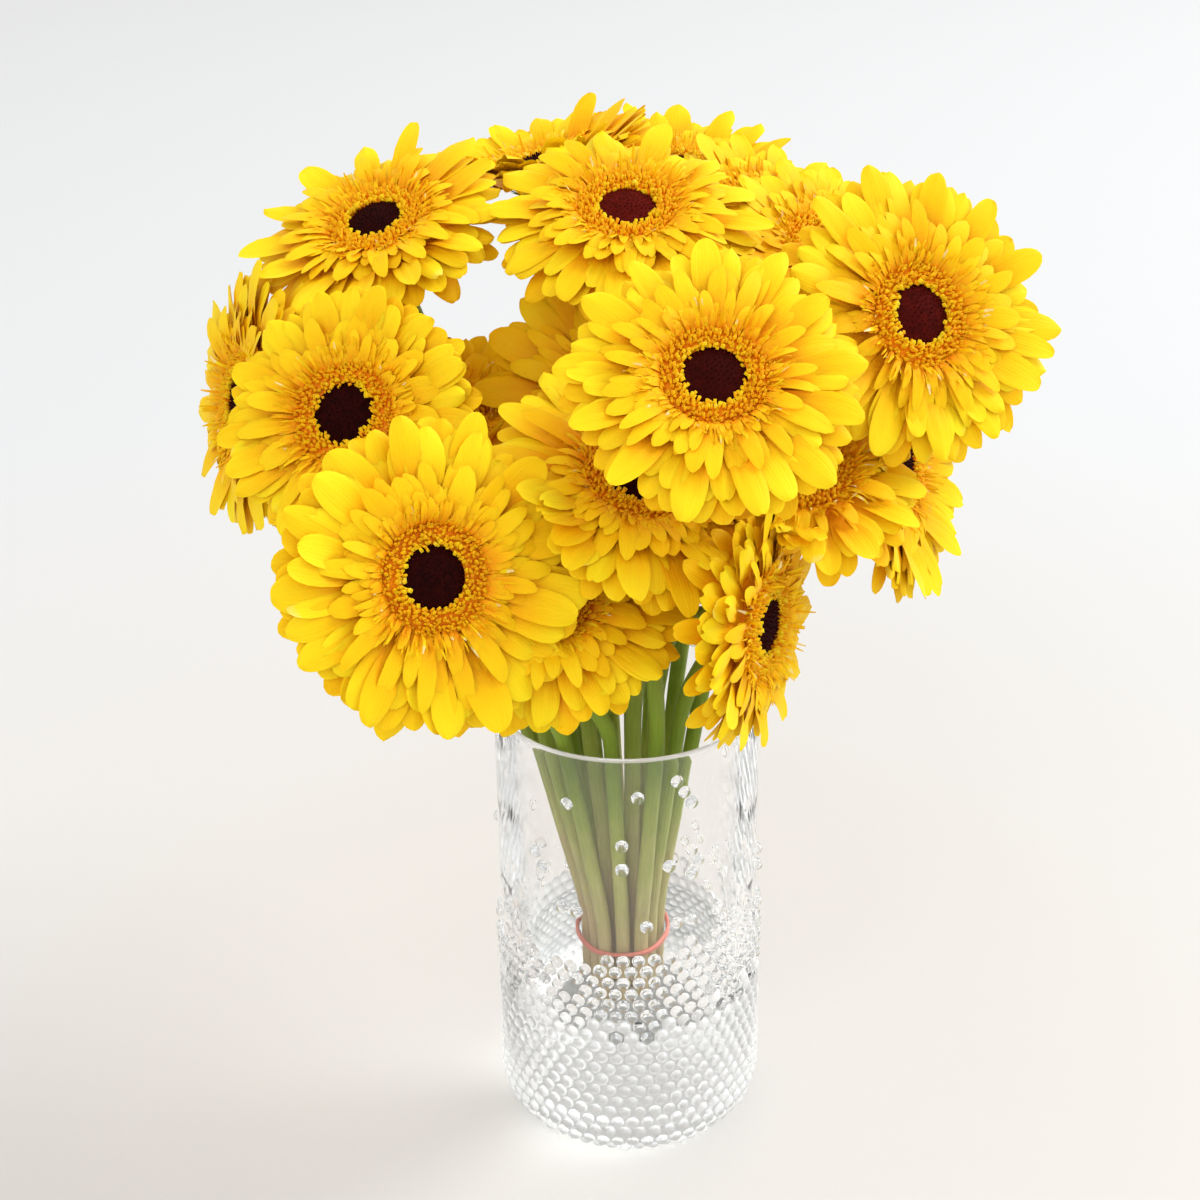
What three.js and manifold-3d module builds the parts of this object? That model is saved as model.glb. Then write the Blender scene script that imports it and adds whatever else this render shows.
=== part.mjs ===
// Yellow gerberas in a clear glass cylinder vase with glass beads stuck on its outside.
// Millimetres, +Z up. The origin is on the vase's axis, on the surface that it stands on.
// The camera of the photograph looks along +Y, so -Y is the front.

import * as THREE from 'three'
import { mergeVertices } from 'three/addons/utils/BufferGeometryUtils.js'
import { ConvexGeometry } from 'three/addons/geometries/ConvexGeometry.js'
import Module from 'manifold-3d'

const wasm = await Module()
wasm.setup()

const TURN = 2 * Math.PI
const UP = new THREE.Vector3(0, 0, 1)
const GAP = 0.3 // left between two pieces that touch

// The glass vase, a straight cylinder on a thick floor
const VASE_RADIUS = 60
const VASE_HEIGHT = 215
const WALL = 2.5
const VASE_FLOOR = 13
const BASE_ROUND = 15 // radius of the outer edge under the vase
const WELL_ROUND = 8 // radius of the inner edge over the floor
const CAVITY_SIDES = 36
const ROUND_STEPS = 3

// The glass beads. The band of beads is a relief of peaks, each among six low points.
const BEAD_RADIUS = 3.8
const BEAD_STANDS_OUT = 3.4
const BEAD_SIDES = 6
const BEAD_ROOT = 1 // how deep a single bead is sunk into the wall
const BEAD_COLUMNS = 54 // lattice points round the vase, a multiple of three
const BEAD_ROWS = 17
// Single beads over the band, as [degrees from +X, height]
const SINGLE_BEADS = [
  [-119, 190], [-114, 191], [-86, 194], [-67, 204], [-66, 197], [-66, 190], [-92, 170],
  [-94, 163], [-74, 161], [-62, 169], [-62, 163], [-61, 157], [-128, 164], [-130, 158],
  [-132, 152], [-121, 135], [-115, 136], [-143, 126], [-84, 127], [-73, 131], [-65, 132],
  [-50, 128], [30, 160], [62, 130], [75, 171], [98, 143], [127, 183], [151, 127], [-8, 128],
  [174, 150],
]

// The stems, tied in a bundle, fanned out to the rim and curved from there to the heads
const STEM_RADIUS = 4
const STEM_SIDES = 7
const STEM_PITCH = 8.6 // between two neighbours in the bundle
const STEM_END = 48 // height of the lowest cut end over the table
const STEM_END_STEP = 2.5 // the other ends are one to three steps higher
const TIE_LOW = 78 // the stems are side by side between these two heights
const TIE_HIGH = 94
const BUNDLE_CENTRE = [-3, 0]
const FAN_CENTRE = [-7.4, -11] // where the bunch crosses the rim
const FAN_SPREAD = 2.3
const CURVE_STEPS = 5
const RIM_REACH = 0.35 // how long a stem keeps its heading at the rim, and at the neck
const NECK_REACH = 0.42

// The green calyx behind each head, as [distance behind the head, radius]
const CALYX = [[24, 4], [18, 7.5], [9, 12.5], [2.9, 13.8]]
const CALYX_HOLLOW = 4.5 // how far behind the head the middle of its cup lies

// The rubber band, wound round the bundle twice, its two turns side by side.
// Its section is given as [distance from the stems' outline, height].
const BAND_MIDDLE = 84
const BAND_TILT = 3 // degrees
const BAND_CLEARANCE = 0.5
const BAND_SECTION = [[0, -3], [1.6, -2.8], [2, -1.5], [1.2, 0], [2, 1.5], [1.6, 2.8], [0, 3]]
const BAND_CORNER_STEPS = 2

const WATER_LEVEL = 66

// Each head is one sheet: a flat hub, a crown of short florets round it and a whorl of
// petals, which lift by turns as front and back petals. A station is a place along a
// petal: how far along it lies, how wide the petal is there and how thick.
const PETALS = 26
const HUB_RADIUS = 15.5
const HUB_HEIGHT = 3
const UNDERSIDE = -4 // the middle of the underside
const CROWN_RADIUS = 24.5
const CROWN_HEIGHTS = [9.5, 6.5] // of the crown's florets by turns
const ROOT_RADIUS = 27 // where the petals part
const ROOT_HEIGHT = -0.5
const PETAL_BOW = 0.2
const PETAL_STATIONS = [{ along: 0.42, half: 5.6, ridge: 1.4 }, { along: 0.86, half: 6.4, ridge: 1.2 }]
const BACK_LENGTH = 0.96 // of a front petal's length
const PETAL_ROOM = 0.49 // of its share of the circle, the most that half a petal takes
const BEND_TRIES = [0, 8, -8, 16, -16, 24, -24, 32, -32, 42, -42, 52] // degrees
const LENGTH_TRIES = [1, 0.85, 0.7, 0.55, 0.4, 0.25]
const STUB = 2 // the length of a petal that has no room at all
const PETAL_CLEARANCE = 0.5
const UNEVEN_LIFT = 5 // degrees
const UNEVEN_LENGTH = 0.1

// The dark disc in the middle of a head, as [radius, height over the hub]
const DISC_SIDES = 10
const DISC_RINGS = [[14.3, 0], [13.2, 2.6], [7.5, 4.6]]
const DISC_TOP = 5
const DISC_RELIEF = 0.8

// The heads: where the middle is, which way it faces, its radius, the lift of its front
// and back petals in degrees, and its stem's slot in the bundle as [ring, place].
const FLOWERS = [
  { at: [-76, -104, 323], faces: [0.4, -0.83, 0.39], radius: 65, lifts: [10, -4], slot: [2, 8] },
  { at: [34, -64, 386], faces: [0.03, -0.64, 0.77], radius: 63, lifts: [12, -8], slot: [1, 5] },
  { at: [-114, -16, 356], faces: [-0.25, -0.79, 0.56], radius: 58, lifts: [14, -4], slot: [2, 7] },
  { at: [120, -4, 391], faces: [0.38, -0.78, 0.5], radius: 66, lifts: [10, -6], slot: [1, 0] },
  { at: [-106, 72, 411], faces: [-0.24, -0.36, 0.9], radius: 62, lifts: [12, -24], slot: [1, 3] },
  { at: [3, 54, 420], faces: [0.01, -0.4, 0.92], radius: 62, lifts: [4, -22], slot: [1, 2] },
  { at: [52, -72, 285], faces: [0.9, -0.44, 0.03], radius: 56, lifts: [14, -24], slot: [2, 10] },
  { at: [3, -52, 339], faces: [0.29, -0.44, 0.85], radius: 64, lifts: [6, -14], slot: [1, 4] },
  { at: [-35, -75, 299], faces: [0.11, -0.56, 0.82], radius: 61, lifts: [6, -16], slot: [2, 9] },
  { at: [71, -34, 334], faces: [0.06, -0.46, 0.89], radius: 54, lifts: [10, -14], slot: [2, 11] },
  { at: [116, 7, 322], faces: [0.88, -0.43, 0.19], radius: 62, lifts: [26, 4], slot: [2, 0] },
  { at: [-165, 44, 341], faces: [-0.88, -0.42, 0.22], radius: 62, lifts: [8, -12], slot: [2, 6] },
  { at: [-1, 26, 348], faces: [-0.3, -0.81, 0.51], radius: 65, lifts: [12, -4], slot: [1, 1] },
  { at: [72, 127, 399], faces: [0.31, -0.25, 0.92], radius: 54, lifts: [22, 0], slot: [2, 2] },
  { at: [-34, 147, 417], faces: [-0.19, 0.05, 0.98], radius: 60, lifts: [38, 14], slot: [2, 4] },
  { at: [31, 185, 404], faces: [0.06, -0.1, 0.99], radius: 58, lifts: [34, 10], slot: [2, 3] },
  { at: [91, 65, 396], faces: [0.36, -0.5, 0.79], radius: 54, lifts: [14, -8], slot: [2, 1] },
  { at: [-78, 43, 329], faces: [-0.19, -0.43, 0.88], radius: 54, lifts: [14, -4], slot: [2, 5] },
]

const MATERIALS = {
  petals: { color: '#f5bd12', roughness: 0.6, metalness: 0 },
  disc: { color: '#430d10', roughness: 0.9, metalness: 0 },
  stem: { color: '#7f9c42', roughness: 0.55, metalness: 0 },
  vase: { color: '#e4eaec', roughness: 0.05, metalness: 0 },
  water: { color: '#dde7e9', roughness: 0.05, metalness: 0 },
  rubber_band: { color: '#dd5a50', roughness: 0.5, metalness: 0 },
}

// A seeded draw between -1 and 1, so that the petals differ a little
let seed = 20240611
function draw() {
  seed = (seed * 1664525 + 1013904223) >>> 0
  return seed / 2 ** 31 - 1
}

function geometryOfTriangles(points, triangles) {
  const geometry = new THREE.BufferGeometry()
  geometry.setAttribute('position', new THREE.Float32BufferAttribute(points.flatMap((p) => p.toArray()), 3))
  geometry.setIndex(triangles.flat())
  return geometry
}

function solidOf(geometry) {
  const bare = geometry.clone()
  bare.deleteAttribute('normal')
  bare.deleteAttribute('uv')
  const merged = mergeVertices(bare, 1e-3)
  return new wasm.Manifold(new wasm.Mesh({
    numProp: 3,
    vertProperties: merged.attributes.position.array,
    triVerts: Uint32Array.from(merged.index.array),
  }))
}

function geometryOf(solid) {
  const mesh = solid.getMesh()
  const geometry = new THREE.BufferGeometry()
  geometry.setAttribute('position', new THREE.BufferAttribute(mesh.vertProperties, 3))
  geometry.setIndex(new THREE.BufferAttribute(mesh.triVerts, 1))
  return geometry
}

function joined(solids) {
  return solids.reduce((whole, solid) => whole.add(solid))
}

function pieceOf(name, kind, geometry) {
  const mesh = new THREE.Mesh(geometry, new THREE.MeshStandardMaterial(MATERIALS[kind]))
  mesh.name = name
  return mesh
}

// A closed skin over rings that all have as many points, with a point in the middle of
// the last ring's cap, so that the cap can be hollow
function loft(rings, lastMiddle) {
  const sides = rings[0].length
  const points = [...rings.flat(), lastMiddle]
  const triangles = []
  for (let ring = 1; ring < rings.length; ring += 1) {
    for (let side = 0; side < sides; side += 1) {
      const next = (side + 1) % sides
      const low = (ring - 1) * sides
      const high = ring * sides
      triangles.push([low + side, low + next, high + next], [low + side, high + next, high + side])
    }
  }
  const last = (rings.length - 1) * sides
  for (let side = 0; side < sides; side += 1) {
    triangles.push([last + side, last + ((side + 1) % sides), points.length - 1])
  }
  for (let side = 2; side < sides; side += 1) triangles.push([0, side, side - 1])
  return geometryOfTriangles(points, triangles)
}

// ---- The vase -------------------------------------------------------------------------

function pointOnWall(radius, turns, height) {
  return new THREE.Vector3(
    radius * Math.cos(turns * TURN), radius * Math.sin(turns * TURN), height)
}

// The outside of the vase as rows of points, the odd rows of the bead band half a step on
function vaseOutside() {
  const step = TURN * VASE_RADIUS / BEAD_COLUMNS
  const rowHeight = step * Math.sqrt(3) / 2
  const rows = []
  for (let i = 0; i < ROUND_STEPS; i += 1) {
    const angle = i / ROUND_STEPS * Math.PI / 2
    const radius = VASE_RADIUS - BASE_ROUND + BASE_ROUND * Math.sin(angle)
    rows.push({ radius: () => radius, height: BASE_ROUND * (1 - Math.cos(angle)), shift: 0 })
  }
  for (let row = 0; row <= BEAD_ROWS; row += 1) {
    const isEdge = row === 0 || row === BEAD_ROWS
    const isPeak = (column) => !isEdge && (column - Math.floor(row / 2) - row + 3 * BEAD_ROWS) % 3 === 0
    const radius = (column) => VASE_RADIUS + (isPeak(column) ? BEAD_STANDS_OUT : 0)
    rows.push({ radius, height: BASE_ROUND + row * rowHeight, shift: (row % 2) / 2 })
  }
  const lastShift = rows[rows.length - 1].shift
  rows.push({ radius: () => VASE_RADIUS, height: VASE_HEIGHT, shift: lastShift })

  const points = rows.flatMap(({ radius, height, shift }) => Array.from(
    { length: BEAD_COLUMNS },
    (_, column) => pointOnWall(radius(column), (column + shift) / BEAD_COLUMNS, height)))
  const triangles = []
  for (let row = 1; row < rows.length; row += 1) {
    const shiftsBack = rows[row].shift < rows[row - 1].shift
    for (let column = 0; column < BEAD_COLUMNS; column += 1) {
      const next = (column + 1) % BEAD_COLUMNS
      const low = (row - 1) * BEAD_COLUMNS
      const high = row * BEAD_COLUMNS
      if (shiftsBack) {
        triangles.push([low + column, high + next, high + column], [low + column, low + next, high + next])
      } else {
        triangles.push([low + column, low + next, high + column], [low + next, high + next, high + column])
      }
    }
  }
  const top = (rows.length - 1) * BEAD_COLUMNS
  for (let column = 2; column < BEAD_COLUMNS; column += 1) {
    triangles.push([0, column, column - 1], [top, top + column - 1, top + column])
  }
  return geometryOfTriangles(points, triangles)
}

// What fills the vase up to a height, standing off its inside by a clearance
function vaseFilling(height, clearance) {
  const radius = VASE_RADIUS - WALL - clearance
  const round = WELL_ROUND - clearance
  const floor = VASE_FLOOR + clearance
  const profile = [new THREE.Vector2(0, floor)]
  for (let i = 0; i <= ROUND_STEPS; i += 1) {
    const angle = i / ROUND_STEPS * Math.PI / 2
    profile.push(new THREE.Vector2(
      radius - round + round * Math.sin(angle), floor + round - round * Math.cos(angle)))
  }
  profile.push(new THREE.Vector2(radius, height), new THREE.Vector2(0, height))
  return new THREE.LatheGeometry(profile, CAVITY_SIDES).rotateX(Math.PI / 2)
}

function singleBead([degrees, height]) {
  const length = BEAD_ROOT + BEAD_STANDS_OUT
  const bead = new THREE.ConeGeometry(BEAD_RADIUS + BEAD_ROOT, length, BEAD_SIDES)
  bead.rotateZ(-Math.PI / 2)
  bead.translate(VASE_RADIUS - BEAD_ROOT + length / 2, 0, height)
  bead.rotateZ(THREE.MathUtils.degToRad(degrees))
  return solidOf(bead)
}

function makeVase() {
  const outside = joined([solidOf(vaseOutside()), ...SINGLE_BEADS.map(singleBead)])
  const above = 10 // the cutter stands out of the mouth
  const vase = outside.subtract(solidOf(vaseFilling(VASE_HEIGHT + above, 0)))
  return pieceOf('vase', 'vase', geometryOf(vase))
}

// ---- The stems ------------------------------------------------------------------------

// A slot of the tied bundle: one in the middle, six round it, twelve round those
function slotPlace([ring, place]) {
  const isCorner = ring < 2 || place % 2 === 0
  const distance = STEM_PITCH * (isCorner ? ring : Math.sqrt(3))
  const angle = ring === 0 ? 0 : place * TURN / (6 * ring)
  return new THREE.Vector2(distance * Math.cos(angle), distance * Math.sin(angle))
}

function stemRoute(flower, index) {
  const slot = slotPlace(flower.slot)
  const inBundle = (height) => new THREE.Vector3(
    BUNDLE_CENTRE[0] + slot.x, BUNDLE_CENTRE[1] + slot.y, height)
  const rim = new THREE.Vector3(
    FAN_CENTRE[0] + slot.x * FAN_SPREAD, FAN_CENTRE[1] + slot.y * FAN_SPREAD, VASE_HEIGHT)
  const facing = new THREE.Vector3(...flower.faces).normalize()
  const neck = new THREE.Vector3(...flower.at).addScaledVector(facing, -CALYX[0][0])
  const reach = rim.distanceTo(neck)
  const rimHeading = rim.clone().sub(inBundle(TIE_HIGH)).normalize()
  const curve = new THREE.CubicBezierCurve3(
    rim,
    rim.clone().addScaledVector(rimHeading, reach * RIM_REACH),
    neck.clone().addScaledVector(facing, -reach * NECK_REACH),
    neck)
  const end = STEM_END + STEM_END_STEP * ((index * 5) % 4)
  const bend = Array.from({ length: CURVE_STEPS }, (_, i) => curve.getPoint((i + 1) / CURVE_STEPS))
  return [inBundle(end), inBundle(TIE_LOW), inBundle(TIE_HIGH), rim, ...bend]
}

// A ring of a stem, square to its heading. The side is level, so no ring is twisted.
function ringAt(centre, heading, side, radius) {
  const across = side.clone().addScaledVector(heading, -side.dot(heading)).normalize()
  const over = new THREE.Vector3().crossVectors(heading, across)
  return Array.from({ length: STEM_SIDES }, (_, i) => {
    const angle = (i + 0.5) / STEM_SIDES * TURN
    return centre.clone()
      .addScaledVector(across, radius * Math.cos(angle))
      .addScaledVector(over, radius * Math.sin(angle))
  })
}

function headingAt(route, i) {
  const before = route[Math.max(i - 1, 0)]
  const after = route[Math.min(i + 1, route.length - 1)]
  return after.clone().sub(before).normalize()
}

function stemGeometry(flower, index) {
  const facing = new THREE.Vector3(...flower.faces).normalize()
  const side = new THREE.Vector3().crossVectors(UP, facing).normalize()
  const head = new THREE.Vector3(...flower.at)
  const route = stemRoute(flower, index)
  const rings = route.slice(0, -1).map((point, i) => ringAt(point, headingAt(route, i), side, STEM_RADIUS))
  for (const [behind, radius] of CALYX) {
    rings.push(ringAt(head.clone().addScaledVector(facing, -behind), facing, side, radius))
  }
  return loft(rings, head.clone().addScaledVector(facing, -CALYX_HOLLOW))
}

// ---- The rubber band ------------------------------------------------------------------

// A closed loop round the bundle's six corner stems, standing off their axes by an offset
function bundleLoop(offset, height) {
  const points = []
  for (let corner = 0; corner < 6; corner += 1) {
    const middle = corner * TURN / 6
    for (let step = 0; step <= BAND_CORNER_STEPS; step += 1) {
      const angle = middle + (step / BAND_CORNER_STEPS - 0.5) * TURN / 6
      points.push(new THREE.Vector3(
        2 * STEM_PITCH * Math.cos(middle) + offset * Math.cos(angle),
        2 * STEM_PITCH * Math.sin(middle) + offset * Math.sin(angle),
        height))
    }
  }
  return points
}

function makeBand() {
  const loops = BAND_SECTION.map(([out, height]) => bundleLoop(
    STEM_RADIUS + BAND_CLEARANCE + out, height))
  const around = loops[0].length
  const triangles = []
  loops.forEach((_, loop) => {
    const low = loop * around
    const high = ((loop + 1) % loops.length) * around
    for (let i = 0; i < around; i += 1) {
      const next = (i + 1) % around
      triangles.push([low + i, low + next, high + next], [low + i, high + next, high + i])
    }
  })
  const band = pieceOf('rubber_band', 'rubber_band', geometryOfTriangles(loops.flat(), triangles))
  band.position.set(...BUNDLE_CENTRE, BAND_MIDDLE)
  band.rotation.x = THREE.MathUtils.degToRad(BAND_TILT)
  return band
}

// ---- The water ------------------------------------------------------------------------

function makeWater() {
  const holes = FLOWERS.map((flower, index) => {
    const [end, low] = stemRoute(flower, index)
    const top = low.clone()
    const bottom = end.clone().addScaledVector(UP, -GAP)
    const facing = new THREE.Vector3(...flower.faces).normalize()
    const side = new THREE.Vector3().crossVectors(UP, facing).normalize()
    const rings = [bottom, top].map((centre) => ringAt(centre, UP, side, STEM_RADIUS + GAP + 0.1))
    return solidOf(loft(rings, top))
  })
  const water = solidOf(vaseFilling(WATER_LEVEL, GAP)).subtract(joined(holes))
  return pieceOf('water', 'water', geometryOf(water))
}

// ---- The flower heads -----------------------------------------------------------------

function onHead(radius, turns, height) {
  return new THREE.Vector3(radius * Math.cos(turns * TURN), radius * Math.sin(turns * TURN), height)
}

// The points of one petal, in the head's frame, where +Z is the way it faces
function petalPoints(petal, place) {
  const turns = (place + 0.5) / PETALS
  const lift = THREE.MathUtils.degToRad(petal.lift)
  const at = (along, half, ridge) => {
    const bow = PETAL_BOW * along * (1 - along) * petal.length + ridge
    const radius = ROOT_RADIUS + petal.length * along * Math.cos(lift) - bow * Math.sin(lift)
    const height = ROOT_HEIGHT + petal.length * along * Math.sin(lift) + bow * Math.cos(lift)
    const share = Math.min(PETAL_ROOM / PETALS, Math.asin(half / radius) / TURN)
    return [-share, 0, share].map((aside) => onHead(radius, turns + aside, height))
  }
  return {
    stations: PETAL_STATIONS.map(({ along, half, ridge }) => {
      const [before, , after] = at(along, half, 0)
      const [, middle] = at(along, half, ridge)
      return { before, middle, after }
    }),
    tip: at(1, 0, 0)[1],
  }
}

const rootPoint = (place) => onHead(ROOT_RADIUS, place / PETALS, ROOT_HEIGHT)
const crownPoint = (place) => onHead(CROWN_RADIUS, place / PETALS, CROWN_HEIGHTS[place % 2])

// A head's hub, crown and petals as one closed sheet, wound outwards ring by ring
function headGeometry(petals) {
  const points = []
  const triangles = []
  const add = (point) => points.push(point) - 1
  const under = add(onHead(0, 0, UNDERSIDE))
  const hub = petals.map((_, i) => add(onHead(HUB_RADIUS, i / PETALS, HUB_HEIGHT)))
  const crown = petals.map((_, i) => add(crownPoint(i)))
  const root = petals.map((_, i) => add(rootPoint(i)))
  for (let i = 2; i < PETALS; i += 1) triangles.push([hub[0], hub[i - 1], hub[i]])
  petals.forEach((petal, i) => {
    const next = (i + 1) % PETALS
    triangles.push(
      [hub[i], crown[i], crown[next]], [hub[i], crown[next], hub[next]],
      [under, root[next], root[i]])
    const { stations, tip } = petalPoints(petal, i)
    const end = add(tip)
    let last = null
    for (const { before, middle, after } of stations) {
      const here = { before: add(before), middle: add(middle), after: add(after) }
      if (last === null) {
        triangles.push(
          [crown[i], root[i], here.middle], [crown[i], here.middle, crown[next]],
          [crown[next], here.middle, root[next]],
          [root[i], here.before, here.middle], [root[next], here.middle, here.after],
          [root[i], root[next], here.after], [root[i], here.after, here.before])
      } else {
        triangles.push(
          [last.before, here.before, here.middle], [last.before, here.middle, last.middle],
          [last.middle, here.middle, here.after], [last.middle, here.after, last.after],
          [last.before, last.after, here.after], [last.before, here.after, here.before])
      }
      last = here
    }
    triangles.push(
      [last.before, end, last.middle], [last.middle, end, last.after], [last.before, last.after, end])
  })
  return geometryOfTriangles(points, triangles)
}

// One petal alone, without the hollows of its edge, to test whether it has room
function petalHull(petal, place, toWorld) {
  const { stations, tip } = petalPoints(petal, place)
  const points = [rootPoint(place), rootPoint(place + 1), crownPoint(place), crownPoint(place + 1), tip]
  for (const { before, middle, after } of stations) points.push(before, middle, after)
  return placedSolid(new ConvexGeometry(points), toWorld)
}

function placedSolid(geometry, toWorld) {
  const solid = solidOf(geometry.clone().applyMatrix4(toWorld))
  const box = new THREE.Box3().setFromBufferAttribute(
    geometry.clone().applyMatrix4(toWorld).getAttribute('position'))
  return { solid, box: box.expandByScalar(PETAL_CLEARANCE) }
}

function hasRoom(piece, others) {
  return others.every((other) => !piece.box.intersectsBox(other.box)
    || piece.solid.minGap(other.solid, PETAL_CLEARANCE) >= PETAL_CLEARANCE)
}

// A petal that would cross another head or stem is bent clear, and shortened if need be
function fittedPetal(wanted, place, toWorld, others) {
  for (const shorter of LENGTH_TRIES) {
    for (const bend of BEND_TRIES) {
      const petal = { ...wanted, lift: wanted.lift + bend, length: wanted.length * shorter }
      const piece = petalHull(petal, place, toWorld)
      if (hasRoom(piece, others)) return { petal, piece }
    }
  }
  const petal = { lift: 0, length: STUB }
  return { petal, piece: petalHull(petal, place, toWorld) }
}

function headMatrix(flower, index) {
  const facing = new THREE.Vector3(...flower.faces).normalize()
  const turned = new THREE.Quaternion().setFromAxisAngle(UP, index)
  const quaternion = new THREE.Quaternion().setFromUnitVectors(UP, facing).multiply(turned)
  return new THREE.Matrix4().compose(
    new THREE.Vector3(...flower.at), quaternion, new THREE.Vector3(1, 1, 1))
}

function discGeometry() {
  const rings = DISC_RINGS.map(([radius, height], ring) => Array.from(
    { length: DISC_SIDES },
    (_, i) => {
      const angle = i / DISC_SIDES * TURN
      const dip = ring > 0 && i % 2 === 1 ? DISC_RELIEF : 0
      return new THREE.Vector3(
        radius * Math.cos(angle), radius * Math.sin(angle), HUB_HEIGHT + GAP + height - dip)
    }))
  return loft(rings, new THREE.Vector3(0, 0, HUB_HEIGHT + GAP + DISC_TOP))
}

// The hub, the crown and room for stubs, which no other head's petals may cross
function coreGeometry() {
  const points = [onHead(0, 0, UNDERSIDE)]
  for (let place = 0; place < PETALS; place += 1) {
    points.push(crownPoint(place), onHead(ROOT_RADIUS + STUB, (place + 0.5) / PETALS, ROOT_HEIGHT))
  }
  return new ConvexGeometry(points)
}

// ---- The bunch ------------------------------------------------------------------------

const stems = FLOWERS.map(stemGeometry)
const stemPieces = stems.map((geometry) => placedSolid(geometry, new THREE.Matrix4()))
const heads = FLOWERS.map((flower, index) => {
  const toWorld = headMatrix(flower, index)
  return { flower, toWorld, pieces: [placedSolid(coreGeometry(), toWorld)] }
})

// The petals, head by head, each clear of every stem and of what the other heads have
function makePetals(head, index) {
  const { flower, toWorld } = head
  const others = [
    ...stemPieces,
    ...heads.filter((other) => other !== head).flatMap((other) => other.pieces),
  ]
  const petals = []
  for (let place = 0; place < PETALS; place += 1) {
    const isFront = place % 2 === 0
    const longer = (isFront ? 1 : BACK_LENGTH) * (1 + UNEVEN_LENGTH * draw())
    const wanted = {
      lift: flower.lifts[place % 2] + UNEVEN_LIFT * draw(),
      length: (flower.radius - ROOT_RADIUS) * longer,
    }
    const { petal, piece } = fittedPetal(wanted, place, toWorld, others)
    petals.push(petal)
    head.pieces.push(piece)
  }
  return pieceOf(`petals_${index}`, 'petals', headGeometry(petals))
}

const bunch = new THREE.Group()
bunch.add(makeVase(), makeWater(), makeBand())
heads.forEach((head, i) => {
  const index = String(i + 1).padStart(2, '0')
  const bloom = new THREE.Group()
  bloom.applyMatrix4(head.toWorld)
  bloom.add(makePetals(head, index), pieceOf(`disc_${index}`, 'disc', discGeometry()))
  bunch.add(bloom, pieceOf(`stem_${index}`, 'stem', stems[i]))
})

export default bunch
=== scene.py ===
"""Yellow gerberas in a clear glass cylinder vase with glass beads stuck on its outside.

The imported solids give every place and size. Places here are worked out in millimetres and
made in metres, with +Z up; the photograph looks along +Y.
"""

import functools
import math
import random

import bpy
import numpy as np
from mathutils import Matrix, Quaternion, Vector


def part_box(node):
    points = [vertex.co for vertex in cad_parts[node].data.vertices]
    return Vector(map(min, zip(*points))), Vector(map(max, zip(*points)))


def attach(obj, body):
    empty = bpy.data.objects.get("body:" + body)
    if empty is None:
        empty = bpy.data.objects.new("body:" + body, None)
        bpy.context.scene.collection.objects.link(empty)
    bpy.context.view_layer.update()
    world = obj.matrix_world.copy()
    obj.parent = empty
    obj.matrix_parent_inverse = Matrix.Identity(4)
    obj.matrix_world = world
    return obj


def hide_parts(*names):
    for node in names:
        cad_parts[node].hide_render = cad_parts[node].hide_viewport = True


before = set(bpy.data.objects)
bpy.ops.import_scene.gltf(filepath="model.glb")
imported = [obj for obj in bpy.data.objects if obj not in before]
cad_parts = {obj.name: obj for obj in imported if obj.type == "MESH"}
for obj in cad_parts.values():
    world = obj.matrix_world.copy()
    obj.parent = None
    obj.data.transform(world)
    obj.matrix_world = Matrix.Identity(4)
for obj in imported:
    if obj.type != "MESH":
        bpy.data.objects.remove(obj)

MM = 0.001
TURN = 2 * math.pi
UP = Vector((0, 0, 1))
BLOOMS = sum(name.startswith("disc_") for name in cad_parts)
chance = random.Random(7)


def box_in_mm(node):
    low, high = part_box(node)
    return np.array(low) / MM, np.array(high) / MM


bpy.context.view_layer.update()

# ---- Sizes ----------------------------------------------------------------------------

# A head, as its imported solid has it
PETALS = 26
ROOT_RADIUS = 27.0
ROOT_HEIGHT = -0.5
PETAL_BOW = 0.2
DISC_BASE = 3.3  # the dark disc's flat underside over the head's middle
NECK = 24.0  # how far behind the head's middle the calyx begins
CALYX = ((24.0, 3.7), (21.0, 4.6), (18.0, 7.2), (13.0, 10.4), (9.0, 12.4), (5.0, 13.4), (2.9, 13.6))

# The vase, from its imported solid
VASE_HEIGHT = box_in_mm("vase")[1][2]
VASE_RADIUS = 60.0
WALL = 2.5
VASE_FLOOR = 13.0
BASE_ROUND = 15.0
WELL_ROUND = 8.0
BEAD_COLUMNS = 54
BEAD_PITCH = TURN * VASE_RADIUS / BEAD_COLUMNS
BEAD_ROW = BEAD_PITCH * math.sqrt(3) / 2
BEAD_RADIUS = 3.3
BEAD_HEIGHT = 3.2
SINGLE_BEADS = (  # degrees from +X, height
    (-119, 190), (-114, 191), (-86, 194), (-67, 204), (-66, 197), (-66, 190), (-92, 170),
    (-94, 163), (-74, 161), (-62, 169), (-62, 163), (-61, 157), (-128, 164), (-130, 158),
    (-132, 152), (-121, 135), (-115, 136), (-143, 126), (-84, 127), (-73, 131), (-65, 132),
    (-50, 128), (30, 160), (62, 130), (75, 171), (98, 143), (127, 183), (151, 127), (-8, 128),
    (174, 150),
)

# The stems
STEM_RADIUS = 3.5
STEM_SIDES = 14
RIM_REACH = 0.35
NECK_REACH = 0.42
TIE_LOW, TIE_HIGH = 78.0, 94.0

WATER_LEVEL = box_in_mm("water")[1][2]


# ---- Making meshes --------------------------------------------------------------------

def turn_and_place(matrix):
    """A matrix's turn and its place, as arrays"""
    return np.array(matrix.to_3x3()), np.array(matrix.translation)


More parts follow.
